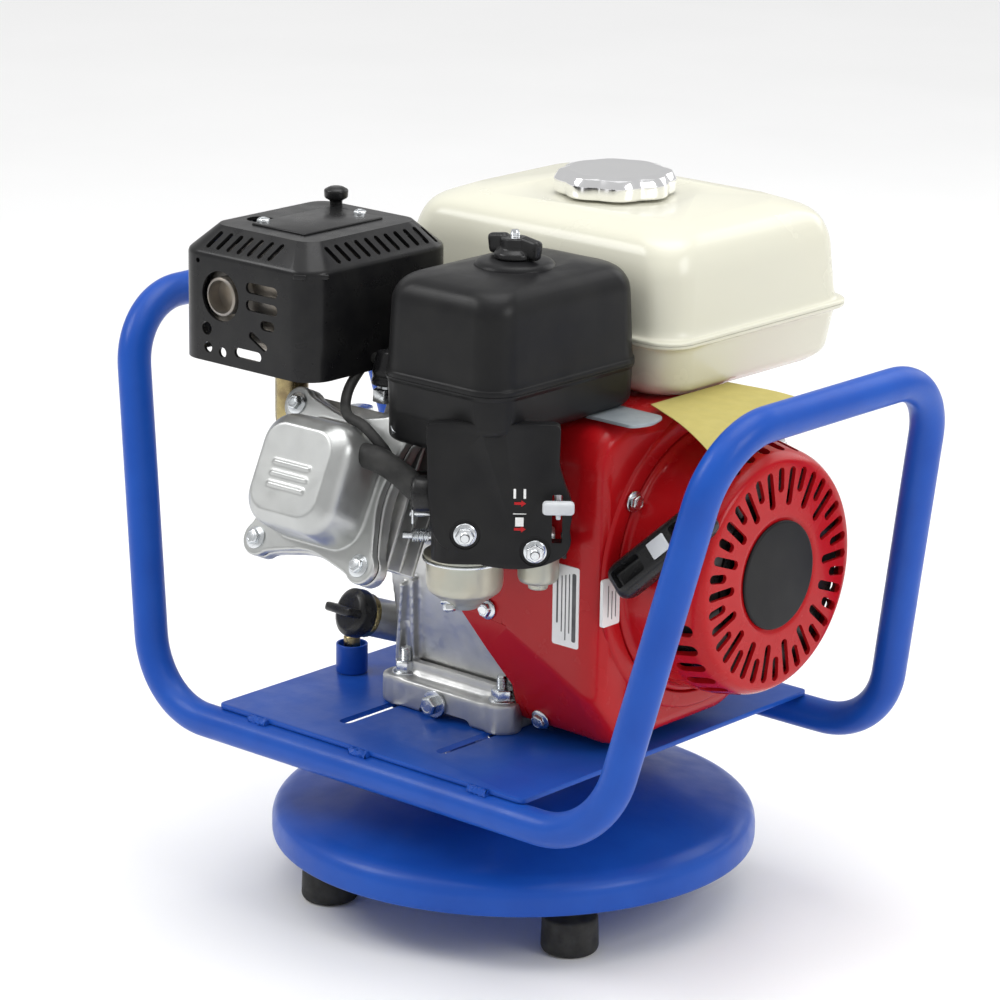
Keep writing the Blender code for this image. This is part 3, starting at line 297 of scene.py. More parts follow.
def lathe(name, profile, place, segments=72):
    """Turns (radius, height) points about a placement's Z."""
    bm = bmesh.new()
    rings = []
    for radius, height in profile:
        if radius < 1e-6:
            rings.append([bm.verts.new((0, 0, height))])
            continue
        angles = [math.tau * k / segments for k in range(segments)]
        rings.append([bm.verts.new((radius * math.cos(a), radius * math.sin(a),
                                    height)) for a in angles])
    pairs = list(zip(rings, rings[1:]))
    if len(rings[0]) > 1:
        pairs.append((rings[-1], rings[0]))
    for first, second in pairs:
        for k in range(segments):
            corners = []
            for ring, step in ((first, 0), (first, 1), (second, 1), (second, 0)):
                vert = ring[(k + step) % len(ring)]
                if vert not in corners:
                    corners.append(vert)
            if len(corners) > 2:
                bm.faces.new(corners)
    return solid(name, bm, place)


def rod(name, radius, start, end, place, segments):
    """A plain cylinder along a placement's Z."""
    return lathe(name, [(0, start), (radius, start), (radius, end), (0, end)], place, segments)


def upright(x, y, z=0.0):
    """A placement at a point, with no turn."""
    return Matrix.Translation(at(x, y, z))


def turned(name, profile, centre, direction=Z, edge=0.001, segments=64):
    """A lathe shape whose corners are rounded."""
    return lathe(name, soften(profile, edge, 3), facing(centre, direction), segments)


def loft(name, rings, place=None, smooth=SHARP_DEG):
    """A skin through rings of the same number of points, closed at both ends."""
    bm = bmesh.new()
    loops = [[bm.verts.new(p) for p in ring] for ring in rings]
    count = len(loops[0])
    for first, second in zip(loops, loops[1:]):
        for k in range(count):
            j = (k + 1) % count
            bm.faces.new((first[k], first[j], second[j], second[k]))
    bm.faces.new(loops[0])
    bm.faces.new(loops[-1])
    return solid(name, bm, place, smooth)


def rounded(width, depth, radius, height=0.0, steps=8, shift=(0.0, 0.0)):
    points = []
    radius = min(radius, width / 2 - 1e-5, depth / 2 - 1e-5)
    for sx, sy, start in ((1, 1, 0), (-1, 1, 90), (-1, -1, 180), (1, -1, 270)):
        cx = shift[0] + sx * (width / 2 - radius)
        cy = shift[1] + sy * (depth / 2 - radius)
        for k in range(steps + 1):
            a = math.radians(start + 90 * k / steps)
            points.append((cx + radius * math.cos(a), cy + radius * math.sin(a), height))
    return points


def box_rings(box, levels, steps=10):
    """Rounded rectangles in an (x0, x1, y0, y1) range, at (height, inset, corner radius) levels."""
    x0, x1, y0, y1 = box
    shift = ((x0 + x1) / 2, (y0 + y1) / 2)
    return [
        rounded(x1 - x0 - 2 * inset, y1 - y0 - 2 * inset, radius, z, steps, shift)
        for z, inset, radius in levels
    ]


def tray(name, box, levels, reach, steps=10, place=None):
    """A lofted box whose levels are rounded into each other."""
    return loft(name, box_rings(box, soften(levels, reach, 5), steps), place or upright(0, 0))


def slab(name, outline, z0, z1, place=None, edge=0.0006):
    """An extruded outline with softly rounded rims."""
    bm = bmesh.new()
    base = [bm.verts.new((p[0], p[1], z0)) for p in outline]
    top = [bm.verts.new((p[0], p[1], z1)) for p in outline]
    count = len(outline)
    for k in range(count):
        j = (k + 1) % count
        bm.faces.new((base[k], base[j], top[j], top[k]))
    bm.faces.new(base)
    bm.faces.new(top)
    obj = solid(name, bm, place)
    return bevel(obj, edge, 2) if edge else obj


def block(name, size, place, edge=0.001, segments=3):
    """A box with rounded edges."""
    bm = bmesh.new()
    bmesh.ops.create_cube(bm, size=1.0)
    bmesh.ops.scale(bm, vec=size, verts=bm.verts)
    if edge:
        bmesh.ops.bevel(bm, geom=bm.edges, offset=edge, segments=segments, profile=0.5,
                        affect="EDGES")
    return solid(name, bm, place)


def bend_path(corners, radii, steps=16, closed=False):
    """A polyline whose corners are arcs."""
    corners = [Vector(c) for c in corners]
    count = len(corners)
    path = [] if closed else [corners[0]]
    span = range(count) if closed else range(1, count - 1)
    for i in span:
        corner = corners[i]
        radius = radii[i] if closed else radii[i - 1]
        arrive = (corner - corners[i - 1]).normalized()
        leave = (corners[(i + 1) % count] - corner).normalized()
        half = arrive.angle(leave) / 2
        reach = radius * math.tan(half)
        centre = corner + (leave - arrive).normalized() * radius / math.cos(half)
        first = corner - arrive * reach - centre
        axis = arrive.cross(leave)
        for k in range(steps + 1):
            path.append(centre + Matrix.Rotation(2 * half * k / steps, 3, axis) @ first)
    if not closed:
        path.append(corners[-1])
    return path


def smooth_path(knots, count):
    """Points along a smooth curve through the knots."""
    knots = [Vector(k) for k in knots]
    ends = [2 * knots[0] - knots[1]] + knots + [2 * knots[-1] - knots[-2]]
    points = []
    for k in range(count):
        t = k * (len(knots) - 1) / (count - 1)
        i = min(int(t), len(knots) - 2)
        t -= i
        a, b, c, d = ends[i : i + 4]
        square = (2 * a - 5 * b + 4 * c - d) * t**2
        cube = (3 * (b - c) + d - a) * t**3
        points.append(0.5 * (2 * b + (c - a) * t + square + cube))
    return points


def settle(obj):
    """Replaces an object's mesh with its evaluated shape."""
    graph = bpy.context.evaluated_depsgraph_get()
    mesh = bpy.data.meshes.new_from_object(obj.evaluated_get(graph), depsgraph=graph)
    obj.modifiers.clear()
    obj.data = mesh
    return obj


def tube(name, path, radius, sides=24, closed=False):
    """A round bar along a path, as a mesh."""
    curve = bpy.data.curves.new(name, "CURVE")
    curve.dimensions = "3D"
    curve.bevel_depth = radius
    curve.bevel_resolution = (sides - 4) // 2
    curve.use_fill_caps = True
    spline = curve.splines.new("POLY")
    spline.points.add(len(path) - 1)
    spline.use_cyclic_u = closed
    for point, place in zip(spline.points, path):
        point.co = (*place, 1.0)
    source = bpy.data.objects.new(name + "_path", curve)
    bpy.context.scene.collection.objects.link(source)
    graph = bpy.context.evaluated_depsgraph_get()
    mesh = bpy.data.meshes.new_from_object(source.evaluated_get(graph), depsgraph=graph)
    bpy.data.objects.remove(source)
    mesh.shade_smooth()
    mesh.set_sharp_from_angle(angle=math.radians(50))
    obj = bpy.data.objects.new(name, mesh)
    bpy.context.scene.collection.objects.link(obj)
    return obj


def bevel(obj, width, segments=2):
    step = obj.modifiers.new("edge", "BEVEL")
    step.width = width
    step.segments = segments
    step.limit_method = "ANGLE"
    step.angle_limit = math.radians(30)
    step.use_clamp_overlap = True
    settle(obj)
    obj.data.shade_smooth()
    obj.data.set_sharp_from_angle(angle=math.radians(40))
    return obj


def boolean(obj, others, operation):
    for other in others:
        step = obj.modifiers.new("join", "BOOLEAN")
        step.operation = operation
        step.solver = "EXACT"
        step.object = other
    settle(obj)
    for other in others:
        bpy.data.objects.remove(other)
    obj.data.shade_smooth()
    obj.data.set_sharp_from_angle(angle=math.radians(SHARP_DEG))
    return obj


def cut(obj, *others):
    return boolean(obj, others, "DIFFERENCE")


def fuse(obj, *others):
    return boolean(obj, others, "UNION")


def join(name, objs):
    """Gathers the meshes of several objects in one, without merging them."""
    bm = bmesh.new()
    for obj in objs:
        bm.from_mesh(obj.data)
        bpy.data.objects.remove(obj)
    mesh = bpy.data.meshes.new(name)
    bm.to_mesh(mesh)
    bm.free()
    mesh.shade_smooth()
    mesh.set_sharp_from_angle(angle=math.radians(SHARP_DEG))
    obj = bpy.data.objects.new(name, mesh)
    bpy.context.scene.collection.objects.link(obj)
    return obj


def melt(obj, voxel=0.001, rounds=6):
    """Blends a casting's pieces into one skin with soft fillets."""
    step = obj.modifiers.new("skin", "REMESH")
    step.mode = "VOXEL"
    step.voxel_size = voxel
    step.use_smooth_shade = True
    step = obj.modifiers.new("soft", "SMOOTH")
    step.factor = 0.5
    step.iterations = rounds
    settle(obj)
    obj.data.shade_smooth()
    return obj


def wear(obj, look, body, slot, *replaced):
    """Gives a finished piece its material, its body and the CAD nodes it stands for."""
    if replaced:
        obj.name = f"{replaced[0]}_look"
        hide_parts(*replaced)
    obj.data.name = obj.name
    obj.data.materials.clear()
    obj.data.materials.append(look.material)
    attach(obj, body)
    return obj


def repaint(look, *names):
    """Gives kept CAD nodes a better material."""
    for name in names:
        NODES[name].data.materials.clear()
        NODES[name].data.materials.append(look.material)


def hex_rings(across, z0, z1, chamfer=0.0008):
    rings = []
    for z, scale in ((z0, 1), (z1 - chamfer, 1), (z1, 0.88)):
        r = across / math.sqrt(3) * scale
        rings.append([(r * math.cos(math.tau * k / 6), r * math.sin(math.tau * k / 6),
                       z) for k in range(6)])
    return rings


def hex_bolt(name, centre, direction, across=0.010, head=0.006, flange=0.0078, stud=0.0, spin=0.0):
    """A flanged hexagon bolt or nut, with a threaded stud where it is asked for."""
    place = facing(centre, direction) @ Matrix.Rotation(spin, 4, "Z")
    washer = lathe("washer",
                   soften([(0, 0), (flange, 0), (flange, 0.0012), (across * 0.5, 0.0022),
                           (0, 0.0022)], 0.0005, 2), place, 32)
    cap = bevel(loft("hex", hex_rings(across, 0.001, head), place), 0.0003, 2)
    parts = [washer, cap]
    if stud:
        profile = [(0, head - 0.001)]
        z = head - 0.001
        r = across * 0.30
        while z < head + stud - 0.001:
            profile += [(r, z), (r - 0.0004, z + 0.0005)]
            z += 0.001
        profile += [(r * 0.8, head + stud), (0, head + stud)]
        parts.append(lathe("thread", profile, place, 24))
    else:
        dish = [(0, head - 0.0006), (across * 0.30, head - 0.0006), (across * 0.36, head + 0.0002),
                (across * 0.30, head - 0.0001), (0, head - 0.0002)]
        parts.append(lathe("dish", dish, place, 24))
    return join(name, parts)


# ---------------------------------------------------------------- camera, light and floor
def studio():
    azimuth, elevation, roll = math.radians(41.2), math.radians(16.18), math.radians(0.76)
    distance = 2.567
    back = Vector((math.sin(azimuth) * math.cos(elevation),
                   -math.cos(azimuth) * math.cos(elevation), math.sin(elevation)))
    right = Vector((math.cos(azimuth), math.sin(azimuth), 0))
    up = back.cross(right)
    turned_right = math.cos(roll) * right + math.sin(roll) * up
    turned_up = -math.sin(roll) * right + math.cos(roll) * up
    data = bpy.data.cameras.new("camera")
    data.lens = 145.4
    data.sensor_width = 36
    camera = bpy.data.objects.new("camera", data)
    bpy.context.scene.collection.objects.link(camera)
    eye = at(0.0036, -0.0218, 0.2647) + back * distance
    camera.matrix_world = Matrix.Translation(eye) @ Matrix((turned_right, turned_up,
                                                            back)).transposed().to_4x4()
    bpy.context.scene.camera = camera

    world = bpy.data.worlds.new("studio")
    world.use_nodes = True
    world.node_tree.nodes["Background"].inputs["Color"].default_value = (1, 1, 1, 1)
    world.node_tree.nodes["Background"].inputs["Strength"].default_value = 0.60
    bpy.context.scene.world = world
    bpy.context.scene.view_settings.view_transform = "Standard"
    for name, place, size, power in (
        ("key", (-1.3, -1.3, 1.8), 0.9, 17), ("side", (2.0, 0.1, 1.4), 0.9, 12),
        ("top", (0.1, 0.2, 2.2), 1.2, 11), ("rear", (0.3, 1.9, 1.3), 1.3, 8),
    ):
        light = bpy.data.lights.new(name, "AREA")
        light.size = size
        light.energy = power
        lamp = bpy.data.objects.new(name, light)
        bpy.context.scene.collection.objects.link(lamp)
        lamp.matrix_world = facing(Vector(place), Vector(place) - Vector((0, 0, 0.25)))
    sky = bpy.data.lights.new("sky", "SUN")
    sky.energy = 1.0
    sky.angle = math.radians(70)
    lamp = bpy.data.objects.new("sky", sky)
    bpy.context.scene.collection.objects.link(lamp)
    bm = bmesh.new()
    bmesh.ops.create_grid(bm, x_segments=8, y_segments=8, size=30)
    floor = solid("floor", bm, Matrix.Translation((0, 0, -0.0005)))
    floor.data.materials.append(FLOOR.material)
    floor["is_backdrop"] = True


studio()


# ---------------------------------------------------------------- base and frame
def base():
    outer = [(0.158, 0.036), (0.158, 0.049), (0.155, 0.055), (0.147, 0.0595), (0.100, 0.0695),
             (0.050, 0.077), (0.040, 0.078)]
    inner = [(max(r - 0.003, 0.040), z - 0.003) for r, z in reversed(outer[1:])]
    profile = outer + [(0.0083, 0.078), (0.0083, 0.075)] + inner + [(0.155, 0.036)]
    dish = lathe("base_dish_skin", soften(profile, 0.004, 4, closed=True), upright(0, 0), 200)
    wear(dish, BLUE, "base", "blue_paint", "base_dish")
    for k in range(4):
        name = f"rubber_foot_{k + 1}"
        a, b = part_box(name)
        middle = (a + b) / 2
        foot = [(0, 0.0015), (0.010, 0.0015), (0.011, 0), (0.0168, 0), (0.0185, 0.003),
                (0.0178, 0.023), (0.012, 0.027), (0.009, 0.0555), (0, 0.0555)]
        obj = lathe(name + "_moulding", soften(foot, 0.0015, 4),
                    Matrix.Translation((middle.x, middle.y, 0)), 56)
        wear(obj, RUBBER, "base", "rubber", name)
    ring = [(0.020, 0.0783), (0.045, 0.0783), (0.045, 0.088), (0.020, 0.088)]
    wear(lathe("bearing_ring", soften(ring, 0.0012, 3, closed=True), upright(0, 0), 96), STEEL,
         "base", "steel", "swivel_bearing")
    repaint(STEEL, "pivot_bolt", "pivot_nut")


def weld(name, start, end):
    """A lumpy bead along a joint."""
    steps = 26
    bead = tube(name, [start.lerp(end, k / steps) for k in range(steps + 1)], 0.0026, 16)
    for vert in bead.data.vertices:
        push = noise.noise(vert.co * 420) * 0.0012 + noise.noise(vert.co * 1100) * 0.0005
        vert.co += vert.normal * push
    return bead


def tube_frame():
    corners, radii = [], []
    top_y = RAIL_HALF_Y - HANDLE_TUCK
    for end in (1, -1):
        run = [
            at(end * CORNER_X, -end * RAIL_HALF_Y, RAIL_Z),
            at(end * (CORNER_X + HANDLE_LEAN), -end * top_y, RAIL_Z + HANDLE_RISE),
            at(end * (CORNER_X + HANDLE_LEAN), end * top_y, RAIL_Z + HANDLE_RISE),
            at(end * CORNER_X, end * RAIL_HALF_Y, RAIL_Z),
        ]
        corners += run
        radii += [LOWER_BEND, UPPER_BEND, UPPER_BEND, LOWER_BEND]
    loop = tube("frame_loop", bend_path(corners, radii, 22, closed=True), TUBE_R, 40, closed=True)
    wear(loop, BLUE, "chassis", "blue_paint", "rail_head_side", "rail_tank_side",
         "handle_starter_end", "handle_coupling_end")
    beads = []
    for side in (-1, 1):
        for x in (-0.100, -0.012, 0.088):
            y = side * 0.1432
            beads.append(weld("bead", at(x, y, 0.1238), at(x + 0.015, y, 0.1238)))
    wear(join("deck_welds", beads), BLUE, "chassis", "blue_paint")


def deck():
    obj = slab("deck_sheet", rounded(0.260, 0.284, 0.004, 0, 4), DECK_TOP - 0.0035, DECK_TOP,
               upright(0, 0), 0.0007)
    cutters = []
    for x in STUD_XS:
        for y, length in ((-0.076, 0.078), (0.088, 0.060)):
            outline = rounded(0.009, length, 0.0044, 0, 6, (x, y))
            cutters.append(slab("slot", outline, 0.10, 0.14, upright(0, 0), 0))
    wear(cut(obj, *cutters), BLUE, "chassis", "blue_paint", "mounting_plate")
    hub_low, hub_high = 0.0883, DECK_TOP - 0.0038
    hub = [(0.0083, hub_low), (0.045, hub_low), (0.045, hub_low + 0.006), (0.026, hub_low + 0.009),
           (0.026, hub_high - 0.005), (0.050, hub_high - 0.004), (0.050, hub_high),
           (0.018, hub_high), (0.018, hub_low + 0.016), (0.0083, hub_low + 0.016)]
    wear(lathe("hub_flange", soften(hub, 0.0012, 3, closed=True), upright(0, 0), 96), BLUE,
         "chassis", "blue_paint", "swivel_hub")
    post = [(0, 0), (0.0105, 0), (0.0105, 0.0195), (0.0090, 0.0195), (0.0090, 0.015), (0, 0.015)]
    wear(turned("post_tube", post, at(-0.112, -0.036, ENGINE_Z), Z, 0.0008), BLUE, "chassis",
         "blue_paint", "support_post")
    tip = [(0, 0.0152), (0.0055, 0.0152), (0.0055, 0.024), (0.0035, 0.0255), (0, 0.0255)]
    wear(turned("post_insert", tip, at(-0.112, -0.036, ENGINE_Z), Z, 0.0006), GILT, "chassis",
         "steel")
    for i, x in enumerate(STUD_XS):
        for j, y in enumerate(STUD_YS):
            number = 2 * i + j + 1
            top = at(x, y, ENGINE_Z + 0.0193)
            low_end = at(x, y, DECK_TOP - 0.0038)
            nut = hex_bolt("nut", top, Z, 0.013, 0.0085, 0.009, 0.0085, 0.3 * number)
            head = hex_bolt("head", low_end, -Z, 0.013, 0.0065, 0.009, 0, 0.2)
            shank = turned("shank", [(0, 0), (0.004, 0), (0.004, 0.026), (0, 0.026)], low_end, Z,
                           0.0004, 24)
            wear(join(f"engine_bolt_{number}", [nut, head, shank]), STEEL, "chassis", "steel",
                 f"mount_bolt_{number}")


# ---------------------------------------------------------------- engine castings
HEAD_PLACE = facing(on_bore(0, HEAD_DROP, HEAD_X), ALONG_BORE, X)


def crankcase():
    foot_top = ENGINE_Z + 0.019
    foot = slab("foot", rounded(0.107, 0.186, 0.010, 0, 6, (-0.0075, 0.026)), ENGINE_Z, foot_top,
                upright(0, 0), 0.0015)
    section = [(-0.045, 0.144), (0.097, 0.144), (0.099, 0.290), (0.076, 0.322), (-0.015, 0.322),
               (-0.052, 0.285), (-0.058, 0.215)]
    section = [(p[0], p[1]) for p in soften(section, 0.012, 5, closed=True)]
    rings = [[(x, y, z) for y, z in section] for x in (-0.0580, 0.0457)]
    walls = loft("walls", rings, upright(0, 0))
    barrel = rod("barrel", 0.041, 0.05, 0.1397, facing(on_bore(0), ALONG_BORE), 64)
    parts = [walls, barrel]
    for x in STUD_XS:
        parts.append(rod("boss", 0.0125, 0, 0.0195, upright(x, STUD_YS[0], ENGINE_Z), 32))
    for x, lean, length in ((-0.051, 0.22, 0.060), (-0.040, 0.14, 0.070)):
        place = Matrix.Translation(at(x, -0.050, 0.180)) @ Matrix.Rotation(lean, 4,
            "Y") @ Matrix.Rotation(0.18, 4, "X")
        parts.append(block("rib", (0.0040, 0.014, length), place, 0.001))
    parts.append(block("ledge", (0.034, 0.010, 0.004), upright(0.010, -0.0585, 0.2020), 0.001))
    for reach, height in ((0.0100, 0.004), (0.0065, 0.010)):
        parts.append(block("flare", (0.094, reach, height),
                           upright(-0.006, -0.052, foot_top + height / 2 - 0.001), 0.001))
    case = fuse(foot, *parts)
    case = melt(case, 0.0012, 4)
    hole = rod("hole", 0.0135, 0, 0.1, facing(at(0.0, CRANK_Y, CRANK_Z), X), 48)
    chamber = rod("chamber", 0.060, 0, 0.104, facing(at(-0.068, CRANK_Y, CRANK_Z), X), 64)
    bore = rod("bore", 0.034, 0, 0.16, facing(on_bore(0), ALONG_BORE), 64)
    studs = [rod("stud", 0.0045, 0.11, 0.18, upright(x, y), 24)
             for x in STUD_XS for y in STUD_YS]
    arch = block("arch", (0.044, 0.030, 0.009), upright(-0.002, -0.070, ENGINE_Z), 0.0042)
    cut(case, chamber, bore, hole, arch, *studs)
    wear(case, CAST, "chassis", "cast_aluminium", "crankcase")
    fins = []
    for k in range(4):
        fins.append(block("fin", (0.072, 0.086, 0.0028),
                          facing(on_bore(0.094 + 0.0125 * k), ALONG_BORE), 0.0008))
    core = rod("core", 0.0345, 0.08, 0.15, facing(on_bore(0), ALONG_BORE), 48)
    fins = [cut(f, copy_of(core)) for f in fins]
    bpy.data.objects.remove(core)
    wear(join("barrel_fins", fins), CAST, "chassis", "cast_aluminium")
    drain = at(-0.009, -0.0673, 0.1365)
    drain_bolt = hex_bolt("drain_bolt", drain, -Y, 0.011, 0.0088, 0.0082, 0, 0.2)
    collar = turned("collar", [(0, 0), (0.0090, 0), (0.0090, 0.0022), (0, 0.0022)], drain, -Y,
                    0.0005, 40)
    wear(join("drain_bolt", [drain_bolt, collar]), STEEL, "chassis", "steel", "oil_drain_plug")


def copy_of(obj):
    twin = obj.copy()
    twin.data = obj.data.copy()
    bpy.context.scene.collection.objects.link(twin)
    return twin


def side_cover():
    place = facing(at(-0.0583, CRANK_Y, CRANK_Z), -X)
    profile = [(0.0135, 0), (0.078, 0), (0.078, 0.010), (0.070, 0.016), (0.046, 0.022),
               (0.046, 0.026), (0.0135, 0.026)]
    cover = lathe("cover", profile, place, 96)
    pan = block("pan", (0.020, 0.115, 0.060), upright(-0.0683, 0.0275, 0.1775), 0.004)
    direction = Vector((-0.19, -0.92, 0.35)).normalized()
    root = at(-0.0745, -0.014, 0.161) - direction * 0.012
    neck = rod("neck", 0.013, 0, 0.058, facing(root, direction), 48)
    ears = []
    for k in range(6):
        a = math.tau * (k + 0.5) / 6
        spot = at(-0.0583, CRANK_Y + 0.074 * math.cos(a), CRANK_Z + 0.074 * math.sin(a))
        ears.append(rod("ear", 0.009, 0, 0.012, facing(spot, -X), 32))
    cover = melt(fuse(cover, pan, neck, *ears), 0.0012, 4)
    hole = rod("hole", 0.0134, -0.01, 0.04, place, 48)
    wear(cut(cover, hole), CAST, "chassis", "cast_aluminium", "side_cover")
    bolts = []
    for k in range(6):
        a = math.tau * (k + 0.5) / 6
        spot = at(-0.0702, CRANK_Y + 0.074 * math.cos(a), CRANK_Z + 0.074 * math.sin(a))
        bolts.append(hex_bolt("bolt", spot, -X, 0.008, 0.005, 0.0068, 0, k))
    wear(join("side_cover_bolts", bolts), STEEL, "chassis", "steel")
    place = facing(root + direction * 0.0583, direction, X)
    cap = [(0, 0), (0.0150, 0), (0.0162, 0.003), (0.0158, 0.010), (0.012, 0.0125), (0, 0.0125)]
    body = lathe("cap_body", soften(cap, 0.0012, 3), place, 64)
    tab = block("tab", (0.006, 0.027, 0.015), place @ Matrix.Translation((0, 0, 0.0145)), 0.002)
    wear(join("oil_cap", [body, tab]), MOULDED, "oil_cap", "black_plastic", "oil_filler_cap")
    seat = [(0.0125, -0.0045), (0.0145, -0.0045), (0.0145, -0.0004), (0.0125, -0.0004)]
    wear(lathe("oil_cap_seal", soften(seat, 0.0008, 2, closed=True), place, 48), GILT, "chassis",
         "steel")


def lobed(half, lobe, waist):
    """A square flange with round lobes at its corners and sides that draw in."""
    points = []
    for k in range(4):
        turn = math.pi / 2 * k
        cx, cy = half, half
        for degrees in range(-55, 146, 20):
            a = math.radians(degrees)
            x, y = cx + lobe * math.cos(a), cy + lobe * math.sin(a)
            points.append((x * math.cos(turn) - y * math.sin(turn),
                           x * math.sin(turn) + y * math.cos(turn)))
        x, y = 0.0, waist
        points.append((x * math.cos(turn) - y * math.sin(turn),
                       x * math.sin(turn) + y * math.cos(turn)))
    return soften(points, 0.012, 4, closed=True)


def head():
    middle = (HEAD_START + HEAD_END) / 2
    body = block("head", (0.080, 0.080, 0.0485), HEAD_PLACE @ Matrix.Translation((0, 0, middle)),
                 0.004)
    base_z = HEAD_END
    skirt = slab("skirt", lobed(BOLT_SPREAD, 0.0112, 0.0430), base_z - 0.009, base_z, HEAD_PLACE,
                 0.001)
    port = rod("port", 0.014, 0, 0.02, facing(at(-0.052, -0.120, 0.312), -X), 32)
    shape = melt(fuse(body, skirt, port), 0.0012, 3)
    wear(shape, CAST, "chassis", "cast_aluminium", "cylinder_head")
    fins = []
    for k in range(3):
        spot = HEAD_PLACE @ Matrix.Translation((-0.006, 0, HEAD_START + 0.010 + 0.0125 * k))
        fins.append(block("fin", (0.092, 0.098, 0.0026), spot, 0.0009))
    wear(join("head_fins", fins), CAST, "chassis", "cast_aluminium")
    base_z = HEAD_END + 0.0003
    flange = slab("flange", lobed(BOLT_SPREAD, 0.0112, 0.0415), base_z, base_z + 0.0062, HEAD_PLACE,
                  0.0012)
    levels = [(base_z + 0.004, 0.0, 0.020), (base_z + 0.014, 0.0005, 0.020),
              (COVER_TOP - 0.0075, 0.003, 0.019), (COVER_TOP, 0.0105, 0.014)]
    dome = tray("dome", (-0.038, 0.038, -0.038, 0.038), levels, 0.0045, 10, HEAD_PLACE)
    bars = []
    for x in (-0.003, 0.004, 0.011):
        place = HEAD_PLACE @ Matrix.Translation((x, 0.0, COVER_TOP - 0.0006))
        bars.append(block("bar", (0.0022, 0.030, 0.0036), place, 0.0009))
    shell = melt(fuse(flange, dome, *bars), 0.0008, 4)
    inside = tray("inside", (-0.032, 0.032, -0.032, 0.032),
                  [(base_z - 0.01, 0, 0.012), (COVER_TOP - 0.0045, 0.005, 0.010)], 0.001, 6,
                  HEAD_PLACE)
    wear(cut(shell, inside), COVER, "chassis", "cast_aluminium", "valve_cover")
    gasket = slab("gasket", lobed(BOLT_SPREAD, 0.0106, 0.0405), base_z - 0.0006, base_z + 0.0003,
                  HEAD_PLACE, 0)
    gasket.name = "cover_gasket"
    wear(gasket, RUBBER, "chassis", "rubber")
    for k, (a, b) in enumerate(((-1, -1), (1, -1), (1, 1), (-1, 1))):
        spot = HEAD_PLACE @ Vector((a * BOLT_SPREAD, b * BOLT_SPREAD, base_z + 0.0060))
        bolt = hex_bolt(f"cover_bolt_{k + 1}", spot, ALONG_BORE, 0.0085, 0.0052, 0.0072, 0, 0.4 * k)
        wear(bolt, STEEL, "chassis", "steel")


def ignition():
    lean = (ACROSS_BORE * math.cos(0.35) + ALONG_BORE * math.sin(0.35)).normalized()
    seat = on_bore(0.172, HEAD_DROP + 0.0590, -0.010)
    body = turned("plug_body",
                  [(0, 0), (0.007, 0), (0.007, 0.003), (0.0055, 0.010), (0.0045, 0.024),
                   (0, 0.024)], seat, lean, 0.0005, 32)
    hexagon = loft("hex", hex_rings(0.0155, 0.0005, 0.009), facing(seat, lean))
    wear(join("plug", [body, bevel(hexagon, 0.0004)]), STEEL, "chassis", "steel", "spark_plug")
    cap = [(0.0062, 0.011), (0.0100, 0.011), (0.0102, 0.014), (0.0094, 0.016), (0.0100, 0.018),
           (0.0100, 0.022), (0.0075, 0.032), (0, 0.034), (0, 0.0245), (0.0062, 0.0245)]
    wear(turned("plug_boot", cap, seat, lean, 0.0012, 48), MOULDED, "chassis", "black_plastic",
         "plug_cap")
    start = seat + lean * 0.027 + Vector((-0.0085, 0, 0))
    knots = [start, start + Vector((-0.008, -0.003, -0.004)), at(-0.0210, -0.136, 0.3540),
             at(-0.0080, -0.151, 0.3440), at(0.0120, -0.157, 0.3410), at(0.0270, -0.156, 0.3300),
             at(0.0330, -0.146, 0.3140), at(0.0360, -0.110, 0.3050), at(0.0467, -0.062, 0.3050)]
    wear(tube("plug_lead", smooth_path(knots, 60), 0.0033, 20), RUBBER, "chassis", "black_rubber",
         "ignition_lead")
    knots = [at(0.0150, -0.1625, 0.3250), at(0.0300, -0.1620, 0.3240), at(0.0450, -0.1585, 0.3170),
             by_elbow(-0.0480, 0.0168, 0.3090), by_elbow(-0.0400, 0.0168, 0.3080)]
    hose = tube("breather_hose", smooth_path(knots, 60), 0.0078, 28)
    wear(hose, RUBBER, "chassis", "black_rubber", "breather_tube")
    cuff = lathe("cuff",
                 soften([(0.0070, 0), (0.0112, 0), (0.0112, 0.012), (0.0070, 0.014)], 0.002, 3,
                        closed=True), facing(by_elbow(-0.0400, 0.0168, 0.308), -CARB_ALONG), 40)
    cuff.name = "breather_cuff"
    wear(cuff, MOULDED, "chassis", "black_plastic")


# ---------------------------------------------------------------- exhaust
def slot_cutter(length, width, depth, place):
    """A round-ended cutter along its placement's X, through Z."""
    outline = [(p[0], p[1]) for p in rounded(length, width, width / 2 - 1e-5, 0, 5)]
    return slab("slot", outline, -depth, depth, place, 0)


